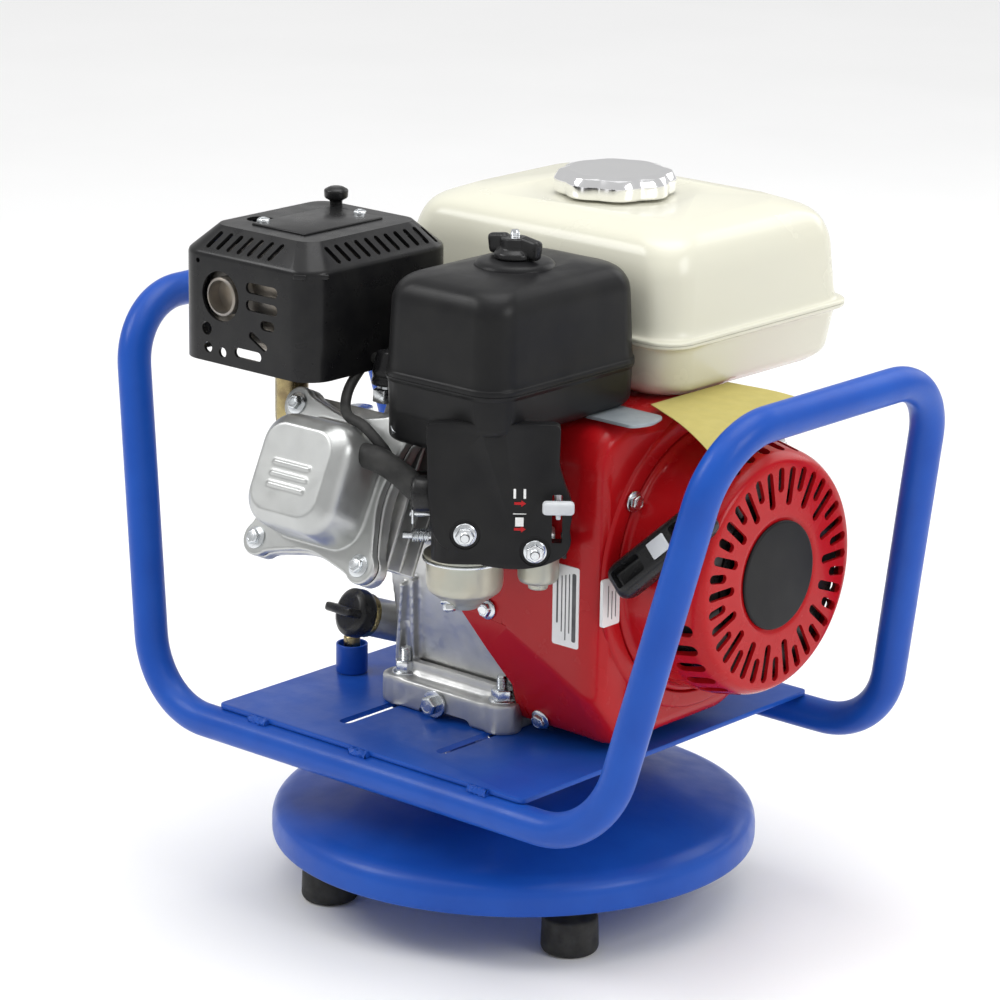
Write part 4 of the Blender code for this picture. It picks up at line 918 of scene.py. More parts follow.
def exhaust():
    corners = [at(-0.0723, -0.120, 0.312), at(-0.085, -0.120, 0.312), at(-0.085, -0.120, 0.3714)]
    wear(tube("header_pipe", bend_path(corners, [0.0125], 14), 0.0105, 40), GILT, "chassis",
         "exhaust_steel", "exhaust_pipe")
    box = (-0.126, -0.030, -0.160, -0.053)
    levels = [(0.372, 0.004, 0.012), (0.376, 0, 0.016), (0.424, 0, 0.016), (0.430, 0.008, 0.012)]
    can = tray("can", box, levels, 0.003)
    outlet = facing(at(-0.0985, -0.156, 0.4050), -Y)
    pipe = lathe("outlet",
                 soften([(0, 0), (0.0122, 0), (0.0122, 0.0125), (0.0104, 0.0133), (0.0104, 0.003),
                         (0, 0.003)], 0.0006, 3), outlet, 64)
    wear(join("muffler_can", [can, pipe]), DARK_STEEL_AND_SHADE, "chassis", "muffler_steel", "muffler")
    box = (-0.138, -0.022, -0.168, -0.038)
    levels = [(0.362, 0.0, 0.018), (0.4300, 0, 0.018), (0.4455, 0.0155, 0.012)]
    outer = loft("guard", box_rings(box, soften(levels, 0.0022, 4), 12), upright(0, 0))
    levels = [(0.352, 0.002, 0.016), (0.4293, 0.002, 0.016), (0.4434, 0.0168, 0.010)]
    inner = loft("inner", box_rings(box, soften(levels, 0.0015, 3), 12), upright(0, 0))
    guard = cut(outer, inner)
    window = rod("window", 0.0158, -0.02, 0.02, facing(at(-0.0995, -0.168, 0.4050), -Y), 48)
    cutters = [window]
    for x, z, length, width, turn in ((-0.0640, 0.4145, 0.027, 0.0068, 0),
                                      (-0.0640, 0.4035, 0.027, 0.0068, 0),
                                      (-0.0590, 0.3928, 0.012, 0.0062, 0),
                                      (-0.0672, 0.3818, 0.017, 0.0048, -0.5),
                                      (-0.0759, 0.3720, 0.023, 0.0062, 0),):
        place = Matrix.Translation(at(x, -0.168, z)) @ Matrix.Rotation(math.pi / 2, 4,
            "X") @ Matrix.Rotation(turn, 4, "Z")
        cutters.append(slot_cutter(length, width, 0.012, place))
    for x, z, r in ((-0.0979, 0.3697, 0.0032), (-0.1105, 0.3712, 0.0034), (-0.1115, 0.3830, 0.0042),
                    (-0.1190, 0.4250, 0.0016)):
        cutters.append(rod("hole", r, -0.01, 0.01, facing(at(x, -0.168, z), -Y), 20))
    for k in range(7):
        x = -0.1120 + 0.0088 * k
        place = Matrix.Translation(at(x, -0.1602, 0.4378)) @ Matrix.Rotation(math.radians(45), 4,
            "X")
        cutters.append(slot_cutter(0.0036, 0.014, 0.006, place @ Matrix.Rotation(-0.35, 4, "Z")))
    for k in range(11):
        y = -0.1410 + 0.0088 * k
        for side, x in ((1, -0.0298), (-1, -0.1302)):
            place = Matrix.Translation(at(x, y, 0.4378)) @ Matrix.Rotation(side * math.radians(45),
                4, "Y")
            cutters.append(slot_cutter(0.014, 0.0036, 0.006,
                                       place @ Matrix.Rotation(side * 0.3, 4, "Z")))
    cutters.append(slot_cutter(0.030, 0.016, 0.01, Matrix.Translation(at(-0.102, -0.124, 0.4455))))
    cut(guard, *cutters)
    wear(guard, GLOSS_BLACK, "chassis", "black_enamel", "muffler_guard")
    knob = turned("guard_knob",
                  [(0, 0), (0.004, 0), (0.004, 0.004), (0.0075, 0.006), (0.0078, 0.011),
                   (0.004, 0.013), (0, 0.013)], at(-0.106, -0.0580, 0.4440), Z, 0.001, 40)
    wear(knob, MOULDED, "chassis", "black_plastic")
    for k, (x, y) in enumerate(((-0.0995, -0.130), (-0.0730, -0.071))):
        wear(hex_bolt(f"guard_bolt_{k + 1}", at(x, y, 0.4440), Z, 0.0075, 0.0045, 0.006), STEEL,
             "chassis", "steel")
    clips = []
    for x, y, turn in ((-0.0335, -0.1655, 0.45), (-0.0245, -0.1560, 0.62)):
        place = Matrix.Translation(at(x, y, 0.4275)) @ Matrix.Rotation(turn, 4, "Z")
        clips.append(block("clip", (0.0085, 0.0030, 0.0032), place, 0.0008))
    wear(join("guard_clips", clips), GLOSS_BLACK, "chassis", "black_enamel")
    panel = block("guard_panel", (0.046, 0.070, 0.0018), upright(-0.078, -0.104, 0.4458), 0.0008)
    wear(panel, GLOSS_BLACK, "chassis", "black_enamel")


# ---------------------------------------------------------------- fuel and air
FACE = Matrix.Translation(by_elbow(0, 0, 0)) @ Matrix((CARB_ALONG, Z,
                                                       CARB_OUT)).transposed().to_4x4()


def carburettor():
    turn = Matrix.Rotation(CARB_TURN, 4, "Z")

    def spot(along, back, z):
        return Matrix.Translation(by_elbow(along, back, z)) @ turn

    floor = 0.262
    body = block("body", (0.040, 0.034, 0.030), spot(-0.021, 0.0515, floor + 0.015), 0.004)
    throat = rod("throat", 0.015, 0, 0.0042,
                 facing(by_elbow(-0.021, 0.038, floor + 0.018), CARB_OUT), 40)
    barrel = rod("barrel", 0.0165, 0, 0.024,
                 facing(by_elbow(-0.021, 0.064, floor + 0.018), CARB_OUT), 40)
    arm = block("arm", (0.050, 0.018, 0.014), spot(0.009, 0.0515, floor + 0.0075), 0.002)
    boss = rod("boss", 0.006, 0, 0.016, spot(-0.034, 0.047, floor + 0.022), 24)
    shape = melt(fuse(body, throat, barrel, arm, boss), 0.0009, 3)
    wear(shape, CAST, "chassis", "cast_aluminium", "carburettor")
    bits = [turned("screw",
                   [(0, 0), (0.0032, 0), (0.0032, 0.012), (0.0022, 0.012), (0.0022, 0.018),
                    (0, 0.018)], by_elbow(-0.041, 0.043, floor + 0.012), -CARB_ALONG, 0.0004, 20),
            turned("spindle", [(0, 0), (0.0025, 0), (0.0025, 0.014), (0, 0.014)],
                   by_elbow(-0.041, 0.050, floor + 0.024), -CARB_ALONG, 0.0004, 20),
            block("lever", (0.0018, 0.010, 0.024), spot(-0.053, 0.050, floor + 0.030), 0.0006),
            block("stop", (0.006, 0.012, 0.0018), spot(-0.050, 0.047, floor + 0.040), 0.0006),]
    coil = []
    for k in range(90):
        a = k * 0.5
        coil.append(by_elbow(-0.0425 - 0.00012 * k, 0.043 + 0.0040 * math.cos(a),
                             floor + 0.012 + 0.0040 * math.sin(a)))
    bits.append(tube("spring", coil, 0.0005, 8))
    wear(join("throttle_linkage", bits), STEEL, "chassis", "cast_aluminium")
    bowl_at = by_elbow(-0.021, 0.0515, 0)
    bowl = [(0, 0.226), (0.009, 0.226), (0.012, 0.230), (0.0225, 0.2375), (0.0238, 0.242),
            (0.0238, 0.2585), (0.0255, 0.2590), (0.0255, 0.2615), (0, 0.2615)]
    wear(turned("bowl", bowl, bowl_at, Z, 0.0016, 80), BOWL, "chassis", "zinc_bowl", "float_bowl")
    ring = [(0.0236, 0.2572), (0.0262, 0.2572), (0.0262, 0.2588), (0.0236, 0.2588)]
    wear(lathe("bowl_ring", soften(ring, 0.0005, 2, closed=True), Matrix.Translation(bowl_at), 80),
         STEEL, "chassis", "zinc_bowl")
    wear(hex_bolt("bowl_screw", by_elbow(-0.030, 0.0440, 0.2315), (CARB_OUT * 0.5 - Z * 0.87),
                  0.007, 0.006, 0.0055), STEEL, "chassis", "steel")
    cup = [(0, 0.239), (0.006, 0.239), (0.0065, 0.243), (0.0115, 0.244), (0.0127, 0.247),
           (0.0127, 0.2617), (0, 0.2617)]
    wear(turned("cup", cup, by_elbow(0.024, 0.050, 0), Z, 0.0012, 48), BOWL, "chassis", "zinc_bowl",
         "sediment_cup")


def levers():
    choke = by_elbow(0.035, 0.026, 0.304)
    place = Matrix.Translation(choke) @ Matrix((CARB_OUT, Z,
                                                CARB_OUT.cross(Z))).transposed().to_4x4()
    arm = block("arm", (0.040, 0.0060, 0.0028), place @ Matrix.Translation((0.0185, 0, 0)), 0.0008)
    hub = rod("hub", 0.0042, -0.002, 0.002, place, 24)
    tab = block("tab", (0.0075, 0.0080, 0.019), place @ Matrix.Translation((0.0385, 0.0045, 0)),
                0.0022)
    wear(join("choke_tab", [arm, hub, tab]), GREY, "choke", "grey_plastic", "choke_lever")
    valve = by_elbow(0.0395, 0.050, 0.270)
    place = Matrix.Translation(valve) @ Matrix((CARB_OUT, Z,
                                                CARB_OUT.cross(Z))).transposed().to_4x4()
    arm = block("arm", (0.030, 0.0075, 0.0028), place @ Matrix.Translation((0.013, 0, 0)), 0.0010)
    hub = rod("hub", 0.0048, -0.002, 0.002, place, 24)
    wear(join("fuel_tap_lever", [arm, hub]), MOULDED, "fuel_valve", "black_plastic", "fuel_lever")
    pin = at(0.075, -0.032, 0.3437)
    outline = [(-0.008, -0.007), (0.018, -0.008), (0.026, -0.024), (0.066, -0.022), (0.070, -0.008),
               (0.064, 0.009), (0.020, 0.008), (-0.008, 0.007)]
    outline = soften(outline, 0.005, 4, closed=True)
    place = Matrix.Translation(pin) @ Matrix.Rotation(math.radians(-3), 4, "Z")
    plate = slab("throttle_plate", outline, 0.0003, 0.0025, place, 0.0005)
    wear(plate, SHEET, "throttle", "steel", "throttle_lever")
    wear(hex_bolt("throttle_pivot", pin + Z * 0.0026, Z, 0.006, 0.0035, 0.005), STEEL, "throttle",
         "steel")


def air_cleaner():
    box = (0.012, 0.111, -0.149, -0.010)
    middle = at(0.0635, -0.0795, 0)
    levels = [(0.3445, 0.008, 0.017), (0.3490, 0.0012, 0.019), (0.3730, 0.0002, 0.020)]
    base_shell = tray("tray", box, levels, 0.004, 14)
    chin = (box[0] + 0.0014, 0.086, box[2] + 0.0014, -0.0712)
    levels = [(0.3320, 0.004, 0.014), (0.3345, 0.0004, 0.017), (0.3600, 0, 0.018)]
    chin = tray("chin", chin, levels, 0.002, 14)
    outline = [(-44, 356), (-43.5, 330), (-42.7, 308.8), (-40.5, 289), (-35.5, 280.5), (-27, 276.5),
               (-19.5, 272.5), (-13, 269), (-5, 267.2), (6, 266), (16, 266.2), (26, 268), (35, 272),
               (40.5, 275.5), (43.5, 283), (42, 290), (43.6, 300), (43, 309), (39.2, 318),
               (35.5, 330), (36, 356)]
    outline = [(a / 1000, z / 1000) for a, z in outline]
    skirt = slab("skirt", soften(outline, 0.004, 3, closed=True), -0.0095, 0.0, FACE, 0.0028)
    duct = loft("duct", [rounded(0.064, 0.034, 0.014, z, 8) for z in (0.269, 0.352)],
                Matrix.Translation(by_elbow(-0.009, 0.0170, 0)) @ Matrix.Rotation(CARB_TURN, 4,
        "Z"))
    shape = fuse(base_shell, chin, skirt, duct)
    inlet = rod("inlet", 0.011, 0, 0.022, facing(by_elbow(-0.021, 0.040, 0.280), CARB_OUT), 32)
    slot = block("slot", (0.0062, 0.030, 0.04), FACE @ Matrix.Translation((0.0345, 0.298, 0)),
                 0.001)
    hollow = tray("hollow", box, [(0.3535, 0.006, 0.016), (0.39, 0.004, 0.018)], 0.001, 8)
    cut(shape, inlet, slot, hollow)
    for along, z in ((-0.0204, 0.2874), (0.0216, 0.2774)):
        well = lathe("well", [(0, -0.0008), (0.0088, -0.0008), (0.0105, 0.003), (0, 0.003)],
                     FACE @ Matrix.Translation((along, z, 0)), 40)
        cut(shape, well)
    wear(shape, SATIN_BLACK, "chassis", "black_plastic", "air_cleaner_base")
    lip = tray("tray_lip", box,
               [(0.3700, 0.0, 0.020), (0.3722, -0.0010, 0.021), (0.3731, -0.0010, 0.021)], 0.0004,
               14)
    wear(lip, SATIN_BLACK, "chassis", "black_plastic")
    levels = [(0.3734, -0.0010, 0.021), (0.3762, -0.0010, 0.021), (0.3772, 0.0002, 0.020),
              (0.4240, 0.0022, 0.019), (0.4335, 0.0080, 0.019), (0.4372, 0.0250, 0.018)]
    lid = tray("lid", box, levels, 0.0060, 14)
    inner = tray("inner", box,
                 [(0.36, 0.003, 0.018), (0.4200, 0.0055, 0.017), (0.4330, 0.024, 0.014)], 0.002, 8)
    lid = cut(lid, inner)
    boss = lathe("boss",
                 soften([(0.0041, 0.4350), (0.026, 0.4350), (0.0235, 0.4400), (0.016, 0.4413),
                         (0.0041, 0.4413)], 0.003, 4, closed=True), Matrix.Translation(middle), 72)
    hole = rod("hole", 0.0042, 0.40, 0.46, Matrix.Translation(middle), 24)
    lid = cut(fuse(lid, boss), hole)
    wear(lid, SATIN_BLACK, "cleaner_lid", "black_plastic", "air_cleaner_cover")
    body = [(0.0034, 0.4416), (0.0130, 0.4416), (0.0125, 0.4450), (0.0090, 0.4475),
            (0.0085, 0.4540), (0.0034, 0.4540)]
    knob = lathe("knob", soften(body, 0.001, 3, closed=True), Matrix.Translation(middle), 48)
    wings = []
    for side in (-1, 1):
        wing = block("wing", (0.0150, 0.0070, 0.0125),
                     Matrix.Translation(middle + Vector((side * 0.0125, 0,
                                                         0.4487))) @ Matrix.Rotation(side * 0.15, 4,
            "Y"), 0.0028, 4)
        wings.append(wing)
    knob = melt(fuse(knob, *wings), 0.0005, 4)
    wear(knob, MOULDED, "wing", "black_plastic", "wing_nut")
    stud = [(0, 0.3511), (0.012, 0.3511), (0.012, 0.3533), (0.003, 0.3533)]
    z = 0.4455
    stud.append((0.003, z))
    while z < 0.4570:
        stud += [(0.0030, z), (0.0026, z + 0.0005)]
        z += 0.001
    stud += [(0.0022, 0.4585), (0, 0.4585)]
    wear(lathe("cleaner_stud", stud, Matrix.Translation(middle), 32), STEEL, "chassis", "steel",
         "air_cleaner_stud")
    repaint(FOAM, "air_filter_element")
    for k, (along, z) in enumerate(((-0.0204, 0.2874), (0.0216, 0.2774))):
        wear(hex_bolt(f"elbow_nut_{k + 1}", by_elbow(along, 0.0008, z), CARB_OUT, 0.0100, 0.0062,
                      0.0072, 0.0035, 0.5 * k), STEEL, "chassis", "steel")
    marks = []
    for along, z, width, height in ((0.0150, 0.3135, 0.0015, 0.0060),
                                    (0.0090, 0.3135, 0.0015, 0.0060),
                                    (0.0120, 0.3010, 0.0080, 0.0005),
                                    (0.0120, 0.2960, 0.0050, 0.0056)):
        place = FACE @ Matrix.Translation((along, z, 0.0002))
        marks.append(block("mark", (width, height, 0.0003), place, 0.0001, 1))
    wear(join("control_marks", marks), WHITE, "chassis", "black_plastic")
    arrows = []
    for z in (0.3075, 0.2915):
        outline = [(-0.0032, -0.0008), (0.0010, -0.0008), (0.0010, -0.0020), (0.0038, 0),
                   (0.0010, 0.0020), (0.0010, 0.0008), (-0.0032, 0.0008)]
        arrows.append(slab("arrow", outline, 0, 0.0003,
                           FACE @ Matrix.Translation((0.0120, z, 0.0001)), 0))
    wear(join("control_arrows", arrows), RED, "chassis", "black_plastic")


def fuel_tank():
    box = (-0.109, 0.130, -0.0075, 0.180)
    seam = 0.3820
    levels = [(seam + 0.0003, 0, 0.020), (seam + 0.0024, 0, 0.020), (seam + 0.0034, 0.0042, 0.022),
              (0.4270, 0.0066, 0.024), (0.4420, 0.0125, 0.026), (0.4494, 0.0310, 0.028)]
    upper = tray("upper", box, levels, 0.0075, 18)
    inner = tray("inner", box,
                 [(seam - 0.01, 0.007, 0.018), (0.4270, 0.0095, 0.020), (0.4445, 0.032, 0.022)],
                 0.003, 8)
    centre = at(0.003, 0.087, 0)
    dish = lathe("dish",
                 [(0, 0.4474), (0.0470, 0.4474), (0.0545, 0.4500), (0.0560, 0.4600), (0, 0.4600)],
                 Matrix.Translation(centre), 96)
    pad = lathe("pad",
                soften([(0.0235, 0.440), (0.0400, 0.440), (0.0400, 0.4473), (0.0290, 0.4476),
                        (0.0262, 0.4515), (0.0240, 0.4520), (0.0235, 0.4510)], 0.0018, 4,
                       closed=True), Matrix.Translation(centre), 96)
    mouth = rod("mouth", 0.0236, 0.41, 0.47, Matrix.Translation(centre), 64)
    upper = cut(fuse(cut(upper, inner, dish), pad), mouth)
    wear(upper, IVORY, "chassis", "tank_ivory", "fuel_tank_upper")
    levels = [(0.346, 0.0150, 0.022), (0.3515, 0.0075, 0.023), (seam - 0.0034, 0.0042, 0.022),
              (seam - 0.0024, 0, 0.020), (seam, 0, 0.020)]
    lower = tray("lower", box, levels, 0.005, 18)
    inner = tray("inner", box,
                 [(0.3485, 0.0150, 0.018), (0.3540, 0.0105, 0.020), (seam + 0.01, 0.007, 0.018)],
                 0.003, 8)
    wear(cut(lower, inner), IVORY, "chassis", "tank_ivory", "fuel_tank_lower")
    base = 0.45410
    count = 192
    lobes = []
    for k in range(count):
        a = math.tau * k / count
        wave = 0.5 + 0.5 * math.cos(8 * a)
        lobes.append((0.0395 * (0.925 + 0.075 * wave**0.7), a))
    levels = soften([(0.4493, 0.985, 0), (0.4505, 1.0, 0), (base + 0.0035, 1.0, 0),
                     (base + 0.0080, 0.93, 0), (base + 0.0095, 0.80, 0), (base + 0.0088, 0.66, 0),
                     (base + 0.0088, 0.40, 0), (base + 0.0092, 0.05, 0)], 0.0016, 4)
    rings = []
    for z, scale, _ in levels:
        calm = max(0.0, min(1.0, (scale - 0.62) / 0.25))
        rings.append([((r * calm + 0.0372 * (1 - calm)) * scale * math.cos(a),
                       (r * calm + 0.0372 * (1 - calm)) * scale * math.sin(a), z) for r,
                      a in lobes])
    cap = loft("cap", rings, Matrix.Translation(centre), 45)
    cut(cap, rod("inside", 0.032, 0.44, base, Matrix.Translation(centre), 64))
    wear(cap, CHROME, "cap", "chrome", "fuel_cap")
    repaint(RUBBER, "cap_gasket")


# ---------------------------------------------------------------- cooling and starting
def fan_outline(x):
    near, far = 0.106, 0.112
    crease = 0.2045 - 0.50 * max(0.0, x - 0.047)
    points = [(-0.0705, crease), (-0.0705, 0.320), (-0.064, 0.335), (-0.050, 0.343)]
    start = math.asin((0.343 - CRANK_Z) / near)
    stop = math.asin((0.134 - CRANK_Z) / far)
    for k in range(41):
        a = start + (stop - start) * k / 40
        r = near + (far - near) * k / 40
        points.append((CRANK_Y + r * math.cos(a), CRANK_Z + r * math.sin(a)))
    points += [(-0.046, 0.134), (-0.053, 0.145)]
    return soften(points, 0.005, 4, closed=True)


def fan_cover():
    middle = Vector((0.02, 0.24))

    def ring(x, inset):
        points = []
        for y, z in fan_outline(x):
            away = Vector((y, z)) - middle
            point = middle + away * (1 - inset / away.length)
            points.append((x, point.x, point.y))
        return points

    levels = [(0.047, 0), (0.074, -0.0003),
              (0.095, -0.0006)] + soften([(0.1050, -0.0010), (0.1140, -0.0012), (0.1245, 0.0020),
                                          (0.1280, 0.0110)], 0.006, 6)
    cover = loft("cover", [ring(x, inset) for x, inset in levels], upright(0, 0))
    inner = loft("inner",
                 [ring(x, inset) for x, inset in ((0.037, 0.003), (0.112, 0.003), (0.125, 0.016))],
                 upright(0, 0))
    intake = rod("intake", 0.072, 0, 0.04, facing(at(0.108, CRANK_Y, CRANK_Z), X), 96)
    cover = cut(cover, inner, intake)
    front = [(0.0130, -0.0705, 0.2070), (0.0490, -0.0705, 0.2035), (0.0490, -0.0705, 0.3180),
             (0.0180, -0.0705, 0.3180)]
    side = loft("side", [front, [(x, y + 0.0025, z) for x, y, z in front]], upright(0, 0))
    front = [(0.0130, -0.0705, 0.2070), (0.0330, -0.0665, 0.1830), (0.0505, -0.0600, 0.1600),
             (0.0545, -0.0530, 0.1440), (0.0550, -0.0475, 0.1350), (0.0620, -0.0475, 0.1350),
             (0.0520, -0.0705, 0.2030)]
    apron = loft("apron", [front, [(x, y + 0.0030, z + 0.0012) for x, y, z in front]],
                 upright(0, 0))
    step = lathe("step",
                 soften([(0.0735, 0.1270), (0.0985, 0.1270), (0.0965, 0.1300), (0.0870, 0.1312),
                         (0.0868, 0.1285), (0.0735, 0.1285)], 0.0012, 3, closed=True),
                 facing(at(0, CRANK_Y, CRANK_Z), X), 128)
    wear(fuse(cover, side, apron, step), RED, "chassis", "cover_red", "fan_cover")
    for k, (spot, direction) in enumerate(((at(0.0375, -0.0708, 0.2110), -Y),
                                           (at(0.0660, -0.0512, 0.1400), Vector((0, -0.95, -0.31))),
                                           (at(0.1312, -0.0440, 0.2940), X),
                                           (at(0.1312, 0.1000, 0.3000), X),
                                           (at(0.1312, 0.1000, 0.1860), X),
                                           (at(0.1312, -0.0330, 0.1740), X))):
        wear(hex_bolt(f"shroud_bolt_{k + 1}", spot, direction, 0.0085, 0.0050, 0.0068, 0, 0.7 * k),
             STEEL, "chassis", "steel")


def recoil():
    depth = 0.190 - FAN_FACE_X
    axis = facing(at(FAN_FACE_X, CRANK_Y, CRANK_Z), X)
    outer = [(0.086, 0), (0.086, 0.003), (0.0822, 0.005), (0.0812, depth - 0.0280),
             (0.0775, depth - 0.0095), (0.0735, depth - 0.0030), (0.0700, depth - 0.0018)]
    face = [(0.0372, depth - 0.0015), (0.0352, depth - 0.0030), (0, depth - 0.0030)]
    post = [(0, depth - 0.021), (0.008, depth - 0.021), (0.008, depth - 0.0070)]
    inner = [(0.0400, depth - 0.0068), (0.0415, depth - 0.0042), (0.0675, depth - 0.0042),
             (0.0715, depth - 0.009), (0.0750, depth - 0.018), (0.0785, depth - 0.030), (0.0785, 0)]
    shell = lathe("shell", soften(outer + face, 0.0030, 4) + post + inner, axis, 144)
    cutters = []
    for k in range(18):
        for shift, r0, r1 in ((0.0, 0.0440, 0.0685), (0.5, 0.0530, 0.0690)):
            a = math.tau * (k + shift) / 18
            middle = (r0 + r1) / 2
            place = axis @ Matrix.Rotation(a, 4,
                                           "Z") @ Matrix.Translation((middle, 0, depth - 0.003))
            cutters.append(slot_cutter(r1 - r0, 0.0058, 0.012, place))
    for base_angle, count in ((196, 6), (60, 7), (330, 3)):
        for k in range(count):
            a = math.radians(base_angle + 11 * k)
            place = axis @ Matrix.Rotation(a, 4,
                                           "Z") @ Matrix.Translation((0.0795, 0, depth - 0.0190))
            cutters.append(slot_cutter(0.0200, 0.0085, 0.006,
                                       place @ Matrix.Rotation(math.radians(79), 4, "Y")))
    pull = Vector((0.14, -0.93, 0.342)).normalized()
    grip = at(0.165, -0.056, 0.273)
    rope_hole = rod("rope_hole", 0.0045, -0.02, 0.03, facing(grip - pull * 0.014, -pull), 24)
    # A black sheet just inside the housing, behind its slots: painted shade standing for the dark
    # inside of the starter.
    slot_shade = [(0.0520, depth - 0.0080), (0.0680, depth - 0.0085), (0.0722, depth - 0.0180),
              (0.0760, depth - 0.0310), (0.0768, 0.0045), (0.0756, 0.0045),
              (0.0748, depth - 0.0310), (0.0710, depth - 0.0185), (0.0670, depth - 0.0097),
              (0.0520, depth - 0.0092)]
    slot_shade = cut(lathe("slot_shade_sheet", slot_shade, axis, 96), copy_of(rope_hole))
    wear(slot_shade, MOULDED, "chassis", "black_plastic")
    cut(shell, rope_hole, *cutters)
    wear(shell, RED, "chassis", "cover_red", "recoil_housing")
    disc = [(0, depth - 0.0028), (0.0346, depth - 0.0028), (0.0346, depth - 0.0014),
            (0.0336, depth - 0.0008), (0, depth - 0.0002)]
    wear(lathe("centre_plate", soften(disc, 0.0006, 3), axis, 96), SATIN_BLACK, "chassis",
         "black_plastic")
    guide = [(0.0046, -0.004), (0.0090, -0.004), (0.0100, 0.002), (0.0080, 0.0050),
             (0.0046, 0.0050)]
    wear(lathe("rope_guide", soften(guide, 0.0012, 3, closed=True),
               facing(grip - pull * 0.0165, pull), 40), MOULDED, "chassis", "black_plastic")
    wear(tube("pull_cord", [grip - pull * (0.148 - 0.139 * k / 40) for k in range(41)], 0.0022, 12),
         CORD, "grip", "rope", "starter_rope")
    along = Vector((0.42, 0.85, 0.31)).normalized()
    along = (along - pull * along.dot(pull)).normalized()
    place = Matrix.Translation(grip) @ Matrix((along, pull,
                                               along.cross(pull))).transposed().to_4x4()
    levels = soften([(-0.0110, 0.004, 0), (-0.0085, 0.0, 0), (0.0085, 0.0, 0), (0.0110, 0.004, 0)],
                    0.003, 4)
    rings = [rounded(0.078 - 2 * inset, 0.019 - 2 * inset, 0.009, z, 10) for z, inset, _ in levels]
    handle = loft("handle", rings, place)
    pockets = []
    for shift in (-0.0235, 0.0235):
        pockets.append(block("pocket", (0.022, 0.012, 0.012),
                             place @ Matrix.Translation((shift, 0.0065, 0)), 0.002))
    handle = cut(handle, *pockets)
    wear(handle, MOULDED, "grip", "black_plastic", "starter_grip")
    insert = block("grip_insert", (0.013, 0.0020, 0.011),
                   place @ Matrix.Translation((0.002, 0.0098, 0)), 0.0008)
    wear(insert, GREY, "grip", "black_plastic")
    repaint(MOULDED, "recoil_reel")
    # The flywheel is really cast aluminium: the dark steel colour here is painted shade, standing
    # for the shade inside the shroud.
    repaint(DARK_STEEL_AND_SHADE, "flywheel")


def switch_and_labels():
    place = facing(at(FAN_FACE_X, -0.030, 0.158), X)
    knob = lathe("knob",
                 soften([(0, 0), (0.012, 0), (0.012, 0.004), (0.0095, 0.006), (0, 0.006)], 0.0008,
                        3), place, 48)
    bar = block("bar", (0.008, 0.0055, 0.018),
                Matrix.Translation(at(FAN_FACE_X + 0.0085, -0.030, 0.158)), 0.0018)
    wear(join("stop_switch", [knob, bar]), MOULDED, "switch", "black_plastic", "engine_switch")
    side = facing(at(0.1020, -0.0717, 0.2272), -Y, Z)
    wear(slab("side_label", rounded(0.0210, 0.0520, 0.0015, 0, 4), -0.0012, 0.0002, side, 0), WHITE,
         "chassis", "cover_red")
    lines = [slab("line", rounded(width, height, width / 3, 0, 2, (x, y)), 0.0001, 0.0004, side,
                  0) for x, y, width, height in ((0.0068, 0, 0.0030, 0.044),
                                                 (0.0030, 0.002, 0.0007, 0.038),
                                                 (0.0000, -0.001, 0.0007, 0.042),
                                                 (-0.0030, 0.001, 0.0007, 0.036),
                                                 (-0.0066, 0.003, 0.0012, 0.030))]
    wear(join("side_label_lines", lines), INK, "chassis", "cover_red")
    front = facing(at(0.1316, -0.0640, 0.2345), X, Z)
    wear(slab("front_label", rounded(0.0160, 0.0300, 0.0015, 0, 4), -0.0020, 0.0003, front, 0),
         WHITE, "chassis", "cover_red")
    lines = [slab("line", rounded(0.0006, height, 0.0002, 0, 2, (x, y)), 0.0002, 0.0005, front,
                  0) for x, y, height in ((0.0040, 0.001, 0.022), (0.0005, -0.002, 0.018),
                                          (-0.0030, 0.001, 0.020))]
    wear(join("front_label_lines", lines), INK, "chassis", "cover_red")


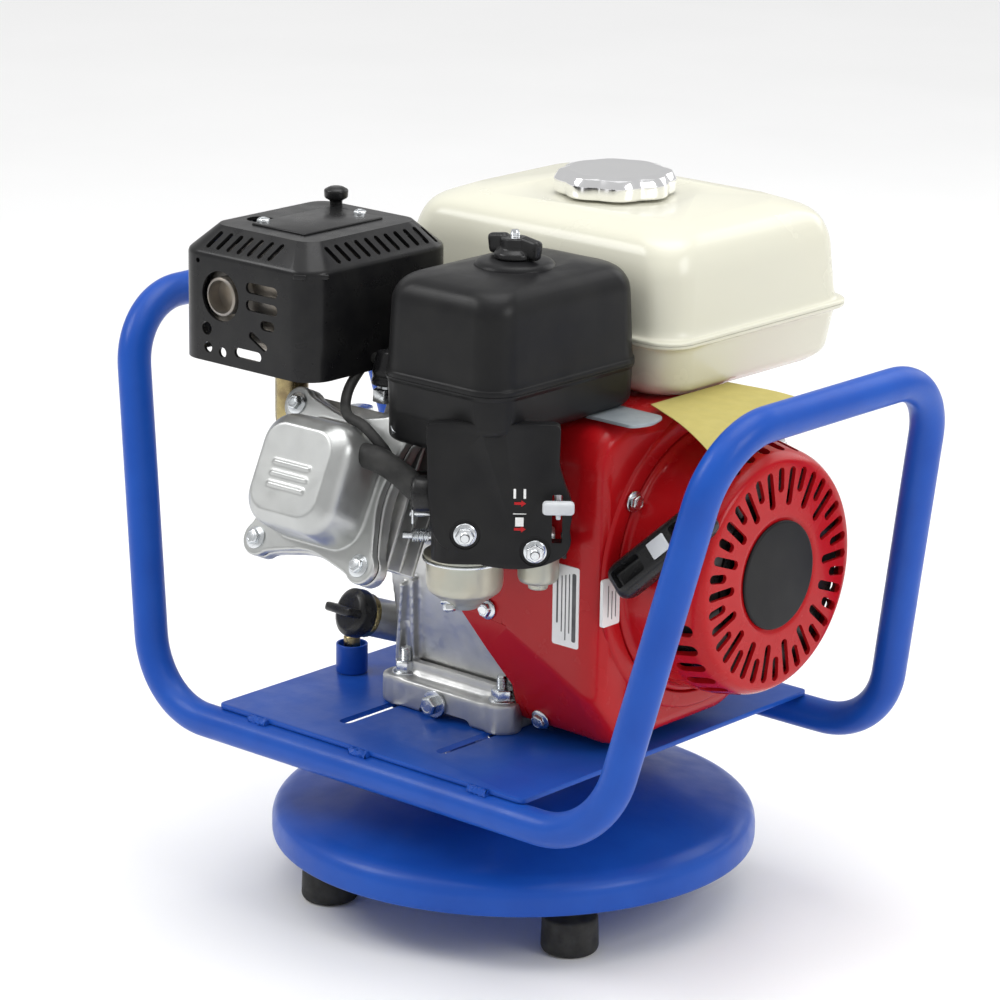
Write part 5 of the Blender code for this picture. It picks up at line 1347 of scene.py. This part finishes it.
def hang_tag():
    """A blank stiff card tucked between the tank and the shroud, drooping at its outer end."""
    near = (at(0.1195, -0.0150, 0.3478), at(0.2040, -0.0600, 0.3478))
    far = (at(0.1195, 0.0610, 0.3478), at(0.1720, 0.0660, 0.3478))
    count = 16
    rows = []
    for k in range(count + 1):
        row = []
        for end in (near[0].lerp(near[1], k / count), far[0].lerp(far[1], k / count)):
            reach = max(0.0, end.x - PIVOT.x - 0.145)
            row.append(Vector((end.x, end.y, end.z - 2.2 * reach**2)))
        rows.append([row[0], row[1], row[1] - Z * 0.0005, row[0] - Z * 0.0005])
    wear(loft("hang_tag", rows, None, 60), CARD, "chassis", "tank_ivory")


# ---------------------------------------------------------------- coupling
def coupling():
    place = facing(at(-0.0846, CRANK_Y, CRANK_Z), -X)
    hole = 0.0135
    shell = [(hole, 0), (0.044, 0), (0.044, 0.007), (0.038, 0.009), (0.038, 0.062), (0.030, 0.070),
             (0.030, 0.094), (0.019, 0.094), (0.019, 0.070), (0.033, 0.062), (0.033, 0.004),
             (hole, 0.004)]
    body = lathe("housing", soften(shell, 0.0012, 3, closed=True), place, 96)
    pin_x = -0.0846 - 0.082
    hole_cut = rod("pin_hole", 0.0044, 0.01, 0.04, Matrix.Translation(at(pin_x, CRANK_Y, CRANK_Z)),
                   32)
    wear(cut(body, hole_cut), BLUE, "chassis", "blue_paint", "coupling_housing")
    pin = [(0, 0.0195), (0.0040, 0.0195), (0.0040, 0.0305), (0.008, 0.0305), (0.009, 0.034),
           (0.009, 0.042), (0, 0.042)]
    wear(turned("lock_pin", pin, at(pin_x, CRANK_Y, CRANK_Z), Z, 0.0007, 48), STEEL, "lock_pin",
         "steel", "coupling_lock_pin")
    bolts = []
    for k in range(4):
        a = math.tau * (k + 0.5) / 4
        spot = at(-0.0917, CRANK_Y + 0.0405 * math.cos(a), CRANK_Z + 0.0405 * math.sin(a))
        bolts.append(hex_bolt("bolt", spot, -X, 0.006, 0.004, 0.0034, 0, k))
    wear(join("coupling_bolts", bolts), STEEL, "chassis", "steel")
    repaint(STEEL, "crankshaft", "connecting_rod", "coupling_hub")
    repaint(CAST, "piston")


for make in (base, tube_frame, deck, crankcase, side_cover, head, ignition, exhaust, carburettor,
             levers, air_cleaner, fuel_tank, fan_cover, recoil, switch_and_labels, hang_tag,
             coupling):
    make()

low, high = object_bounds()
